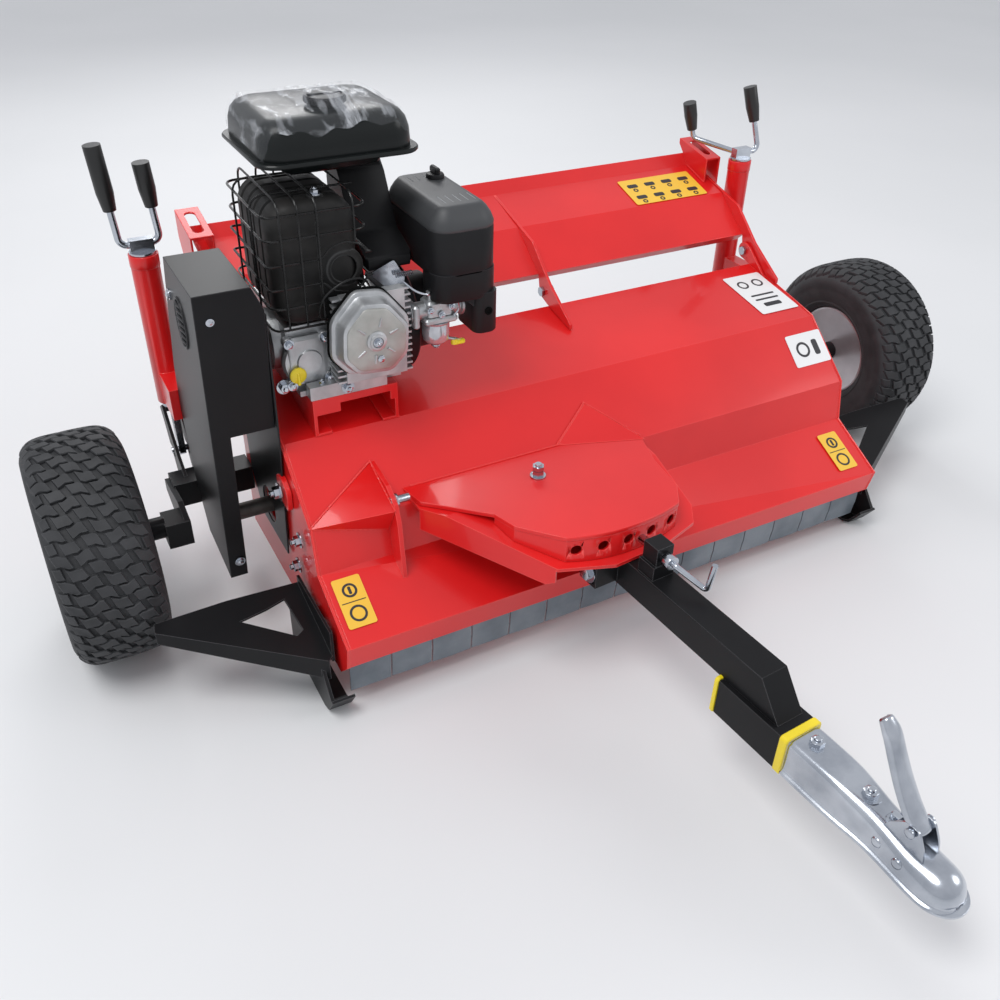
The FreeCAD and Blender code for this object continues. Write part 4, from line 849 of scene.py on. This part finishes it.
# ---------- guard, deck and tow plate fittings ----------
def make_guard_fittings():
    middle_y, middle_z, half_y, half_z = -76, 618, 30, 40
    ring = [(-690.5, middle_y + half_y * math.cos(a), middle_z + half_z * math.sin(a))
            for a in [2 * math.pi * k / 48 for k in range(49)]]
    louvre = [tube(ring, 2.6, 8)]
    for k in range(-3, 4):
        z = middle_z + k * 10
        reach = half_y * math.sqrt(max(0.0, 1 - (k * 10 / half_z) ** 2)) - 3
        louvre.append(tube([(-691, middle_y - reach, z), (-693, middle_y, z + 1.5),
                            (-691, middle_y + reach, z)],
                           [1.2, 2.8, 1.2], 8))
    piece("guard_louvre", join(*louvre), "deck", "black_paint")
    front_bolts = [aimed(bolt(11, 5, 0, dome=True), (-668, -172.5, 657), (0, -0.99, -0.12)),
                   aimed(bolt(11, 5, 0, dome=True), (-671, -115.5, 172), (0, -0.99, -0.12)),
                   aimed(bolt(11, 5, 0, dome=True), (-690, -10, 640), LEFT)]
    piece("guard_bolts", join(*front_bolts), "deck", "zinc")
    lower = [aimed(bolt(17, 9, 6), (-585, y, z), LEFT) for y, z in ((-214, 256), (-188, 184))]
    lug_bolt = aimed(bolt(19, 10, 6), (-592, -146, 316), LEFT)
    lug = moved(prism(rounded([(-30, -26), (26, -20), (22, 24), (-6, 30), (-32, 14)], 8), 9),
                Matrix(((0, 0, -1, -580), (1, 0, 0, -146), (0, 1, 0, 316), (0, 0, 0, 1))))
    piece("bearing_lug", lug, "deck", "red_paint", bevel=1.0)
    right = [aimed(bolt(17, 9, 6), (597, y, z), RIGHT) for y, z in ((-214, 256), (-188, 184), (-146, 316))]
    piece("side_bolts", join(lug_bolt, *lower, *right), "deck", "zinc")
    cap = aimed(lathe([(47, 0), (47, 3), (44, 5), (24, 9), (0, 10)], 40), (591.2, -30, 215), RIGHT)
    piece("bearing_cap", cap, "deck", "black_paint")


def make_welds():
    seams = [
        [(-443.5, -190, 361), (-443.5, -296, 323)],
        [(-579, -256, 304), (-443.5, -191, 361)],
        [(-579, -256, 304), (-443.5, -262, 263)],
        [(-98, -236, 321), (-12, -187, 364)],
        [(-12, -187, 364), (77, -256, 305)],
        [(-390, -236, 321), (52, -236, 321)],
        [(-512, -142, 403), (-512, 60, 444)],
        [(-366, -142, 403), (-366, 60, 444)],
    ]
    piece("weld_beads", join(*[weld(s, 1.9, i) for i, s in enumerate(seams)]), "deck", "red_paint")
    handle = [weld([(x, 309, 600), (x, 240, 579)], 1.6, x) for x in (-554, 564)]
    piece("hood_weld_beads", join(*handle), "hood", "red_paint")
    profile = [(-388, 105), (-398, 153), (-273, 217), (-257, 300), (-140, 401), (66, 443)]
    rims = [tube([(x, y, z + 0.8) for y, z in profile], 1.5, 8) for x in (-576, 588)]
    piece("deck_rim_edges", join(*rims), "deck", "red_paint")


def marked_plate(name, corners, body, material, ink_marks, thickness=0.8):
    """Thin sheet plate on a surface from its four corners, with abstract bars and discs and no lettering."""
    a, b, c, d = (Vector(p) for p in corners)
    u, v = b - a, d - a
    normal = u.cross(v).normalized()
    if normal.z < 0:
        normal = -normal
    width, height = u.length, v.length
    turn = Matrix((u.normalized(), v.normalized(), normal)).transposed().to_4x4()
    seat = Matrix.Translation(a + normal * 0.5) @ turn
    outline = round_rect(0, width, 0, height, 4, 4)
    piece(name, moved(prism(outline, thickness), seat), body,
          "yellow_plastic" if "yellow" in name else "zinc",
          material)
    marks = []
    for kind, mx, my, size_x, size_y in ink_marks:
        if kind == "bar":
            shape = prism(round_rect(mx * width - size_x / 2, mx * width + size_x / 2,
                                     my * height - size_y / 2,
                                     my * height + size_y / 2, min(size_x, size_y) * 0.3, 3), 0.5)
        else:
            section = [(size_x, 0), (size_x, 0.5), (size_y, 0.5), (size_y, 0)]
            rings = [[(r * math.cos(2 * math.pi * k / 28), r * math.sin(2 * math.pi * k / 28),
                       z) for k in range(28)]
                     for r, z in section]
            shape = moved(loft(rings + rings[:1], False), Matrix.Translation((mx * width, my * height, 0)))
        marks.append(moved(shape, seat @ Matrix.Translation((0, 0, thickness))))
    piece(name + "_marks", join(*marks), body, "black_plastic", EXTRA["ink"])


def make_plates():
    white, yellow = EXTRA["plate_white"], EXTRA["plate_yellow"]
    marked_plate("plate_white_top", [(477, 31, 436.5), (574, 30, 436.5), (583, -103, 408.8),
                                     (483, -105, 408.8)],
                 "deck", white, [("disc", 0.30, 0.25, 13, 9), ("disc", 0.70, 0.25, 13, 9),
                                 ("bar", 0.5, 0.55, 60, 5),
                                 ("bar", 0.5, 0.66, 60, 5), ("bar", 0.5, 0.80, 44, 12)])
    marked_plate("plate_white_slope", [(494, -165, 380), (587, -165, 380), (584, -219, 333),
                                       (494, -219, 333)],
                 "deck", white, [("disc", 0.35, 0.5, 17, 12), ("bar", 0.72, 0.5, 14, 34)])
    marks = [("disc", 0.5, 0.27, 13, 9), ("bar", 0.5, 0.27, 5, 14), ("disc", 0.5, 0.74, 15, 11),
             ("bar", 0.5, 0.5, 42, 1.5)]
    marked_plate("plate_yellow_right", [(508, -296, 206.5), (557, -296, 206.5), (560, -376, 165.5),
                                        (510, -376, 165.5)],
                 "deck", yellow, marks)
    marked_plate("plate_yellow_left", [(-563, -288, 210.5), (-513, -288, 210.5), (-511, -370, 168.6),
                                       (-563, -370, 168.6)],
                 "deck", yellow, marks)
    grid = [("bar", 0.14 + 0.24 * i, 0.27 + 0.46 * j, 26, 12) for i in range(4) for j in range(2)]
    grid += [("disc", 0.14 + 0.24 * i, 0.44 + 0.46 * j, 6, 3) for i in range(4) for j in range(2)]
    marked_plate("plate_yellow_hood", [(355, 286, 592), (546, 286, 592), (546, 200, 566.6),
                                       (355, 200, 566.6)],
                 "hood", yellow, grid)


def make_flaps():
    """Hanging plates with a rolled top, a crease and a bent, uneven lower band."""
    count, x0, x1 = 15, -572.0, 584.0
    pitch = (x1 - x0) / count
    plates = []
    for k in range(count):
        left, right = x0 + k * pitch + 1.2, x0 + (k + 1) * pitch - 1.2
        lean = 1.6 * noise.noise(Vector((k * 1.7, 3, 0)))
        outline = [(-380.5, 122), (-377, 124.5), (-371, 124), (-368, 119), (-371, 112), (-372.3, 100),
                   (-372.6, 66), (-371.4, 62), (-369.2, 34.5), (-370.8, 34), (-373.8, 61), (-375, 66),
                   (-375, 102), (-379, 112)]
        rings = []
        for i in range(5):
            x = left + (right - left) * i / 4
            bow = 1.2 * math.sin(math.pi * i / 4)
            rings.append([(x, y - (bow + lean) * max(0, (112 - z) / 78), z) for y, z in outline])
        plates.append(loft(rings))
    piece("flap_plates", join(*plates), "front_flaps", "flap_grey", replaces=("front_flaps",), smooth=30)


# ---------- drawbar and coupler: drawn along -Y from the swing pin ----------
BALL_Y, BASE_Z = -830.0, 130.0


def coupler_section(y, half, top, shoulder, base=BASE_Z):
    """Half-round shouldered section from one lower edge over the top to the other."""
    right = [(half + 7, base), (half + 6.4, base + 3), (half + 1.4, base + 4.6), (half, base + 10),
             (half, top - shoulder)]
    for k in range(1, 6):
        angle = math.radians(90 * k / 5)
        right.append((half - shoulder + shoulder * math.cos(angle),
                      top - shoulder + shoulder * math.sin(angle)))
    left = [(-x, z) for x, z in right[::-1]]
    return [(x, y, z) for x, z in right + left]


def make_coupler():
    stations = [(-584.5, 30, 190, 9), (-600, 30, 190, 9), (-640, 30, 190, 10), (-668, 30, 190, 12),
                (-690, 29, 187, 14), (-712, 27, 184, 16), (-735, 26, 180, 17), (-757, 27, 176, 18),
                (-778, 29, 172, 20), (-797, 31, 169.5, 22), (-812, 32, 170.5, 27), (-830, 32.6, 171, 30),
                (-845, 29.5, 168, 27), (-855, 22.5, 161, 20), (-861, 13, 151, 12), (-864, 4, 141, 3)]
    rings = [coupler_section(*s) for s in stations]
    count = len(rings[0])
    points = [Vector(p) for ring in rings for p in ring]
    faces = [[k * count + i, k * count + i + 1, (k + 1) * count + i + 1, (k + 1) * count + i]
             for k in range(len(rings) - 1) for i in range(count - 1)]
    piece("coupler_pressing", (points, faces), "drawbar", "zinc", matrix=BAR, replaces=("coupler_body",),
          smooth=70, solid=-2.6, levels=2)
    cheeks = []
    for x in (-17, 13.4):
        outline = rounded([(-812, 160), (-742, 168), (-748, 190), (-770, 214), (-792, 215), (-806, 190)], 8)
        cheeks.append([(x, y, z) for y, z in outline])
        cheeks.append([(x + 3.6, y, z) for y, z in outline])
    ears = join(loft(cheeks[:2]), loft(cheeks[2:]))
    shank = block(-29.6, 29.6, -584, -548, 131, 189, 1.5)
    nose = []
    for k in range(25):
        angle = math.pi * (1 + k / 24)
        co, si = math.cos(angle), math.sin(angle)
        nose.append([(r * co, BALL_Y + f * si, z) for r, f, z in (
            (40, 45, BASE_Z), (39.4, 44.4, BASE_Z + 3), (30, 33, BASE_Z + 4), (29, 32, BASE_Z))])
    lip = loft(nose)
    rivets = [aimed(lathe([(8.5, 0), (8.5, 2), (6.5, 4.4), (3, 5.4), (0, 5.6)], 28), (side * half, y, z),
                    (side, 0, 0))
              for side in (-1, 1) for y, z, half in ((-750, 155, 26.8), (-786, 153, 29.4))]
    piece("coupler_ears", join(ears, shank, lip, *rivets), "drawbar", "zinc", matrix=BAR, bevel=0.6)
    stamp = [block(-11 + 2 * (k % 2), 11 - 3 * (k % 2), -646 - k * 8, -641 - k * 8, 189.4, 191,
                   0.7) for k in range(4)]
    piece("coupler_stamping", join(*stamp), "drawbar", "zinc", matrix=BAR)
    slot = join(block(-10, 10, -764, -736, 176, 183, 3), block(-5, 5, -758, -742, 182, 194, 1.5))
    piece("coupler_latch", slot, "drawbar", "zinc", matrix=BAR)
    heads = [aimed(bolt(19, 9, 5), (0, y, z), (0, 0.04, 1)) for y, z in ((-608, 190), (-706, 184.6))]
    cross = aimed(bolt(24, 8, 0), (-72.4, -154, 222), LEFT)
    piece("coupler_bolts", join(*heads, cross), "drawbar", "zinc", matrix=BAR, replaces=("bar_bolts",))


def make_stub_caps():
    """Yellow plastic plugs with a raised frame, at both ends of the stub."""
    frames = []
    for y0, y1 in ((-584, -570.4), (-441.6, -434)):
        section = [(0, y0 + 1.5), (1.5, y0), (6.5, y0), (8, y0 + 1), (8, y1 - 1), (6.5, y1), (1.5, y1),
                   (0, y1 - 1.5)]
        rings = [[(x, y, z) for x, z in round_rect(-37 + inset, 37 - inset, 122 + inset, 196 - inset,
                                                   max(7 - inset, 1.0), 5)] for inset, y in section]
        frames.append(loft(rings + rings[:1], False))
    piece("stub_plugs", join(*frames), "drawbar", "yellow_plastic", matrix=BAR, replaces=("stub_caps",),
          smooth=35)


def make_lever():
    """Pressed clamp handle: a channel that narrows at its root and ends in a rounded tip."""
    spine = smooth_path([(0, -792, 200), (0, -768, 222), (0, -744, 252), (0, -724, 283), (0, -707, 311),
                         (0, -690, 328)], 5)
    halves = [15, 16.5, 16, 15, 14.5, 14, 9]
    rings = []
    for i, point in enumerate(spine):
        t = i / (len(spine) - 1) * (len(halves) - 1)
        low = min(int(t), len(halves) - 2)
        half = halves[low] + (halves[low + 1] - halves[low]) * (t - low)
        before, after = spine[max(i - 1, 0)], spine[min(i + 1, len(spine) - 1)]
        along = (after - before).normalized()
        out = Vector((0, along.z, -along.y))
        section = [(half, -7), (half + 0.6, -2), (half - 1, 4), (half * 0.55, 6.6), (0, 7.4),
                   (-half * 0.55, 6.6),
                   (-half + 1, 4), (-half - 0.6, -2), (-half, -7), (-half + 2.6, -7), (-half + 3, 1), (0, 4),
                   (half - 3, 1), (half - 2.6, -7)]
        rings.append([point + Vector((x, 0, 0)) + out * (-d) for x, d in section])
    pin = aimed(lathe([(0, -24), (5, -24), (7.5, -22), (7.5, -20), (5, -19), (5, 19), (7.5, 20), (7.5, 22),
                       (0, 24)], 24),
                (0, -782, 205), RIGHT)
    piece("coupler_handle", loft(rings), "coupler_lever", "zinc", matrix=BAR, replaces=("coupler_lever",),
          smooth=60, levels=1)
    piece("coupler_handle_pin", pin, "coupler_lever", "zinc", matrix=BAR)


make_camera()
dress_cad_nodes()
make_studio()
make_tyres()
make_air_filter()
make_muffler()
make_cage()
make_rocker_cover()
make_crankcase_details()
make_carburettor()
make_blower()
make_tank()
make_film()
make_guard_fittings()
make_welds()
make_plates()
make_flaps()
make_coupler()
make_stub_caps()
make_lever()
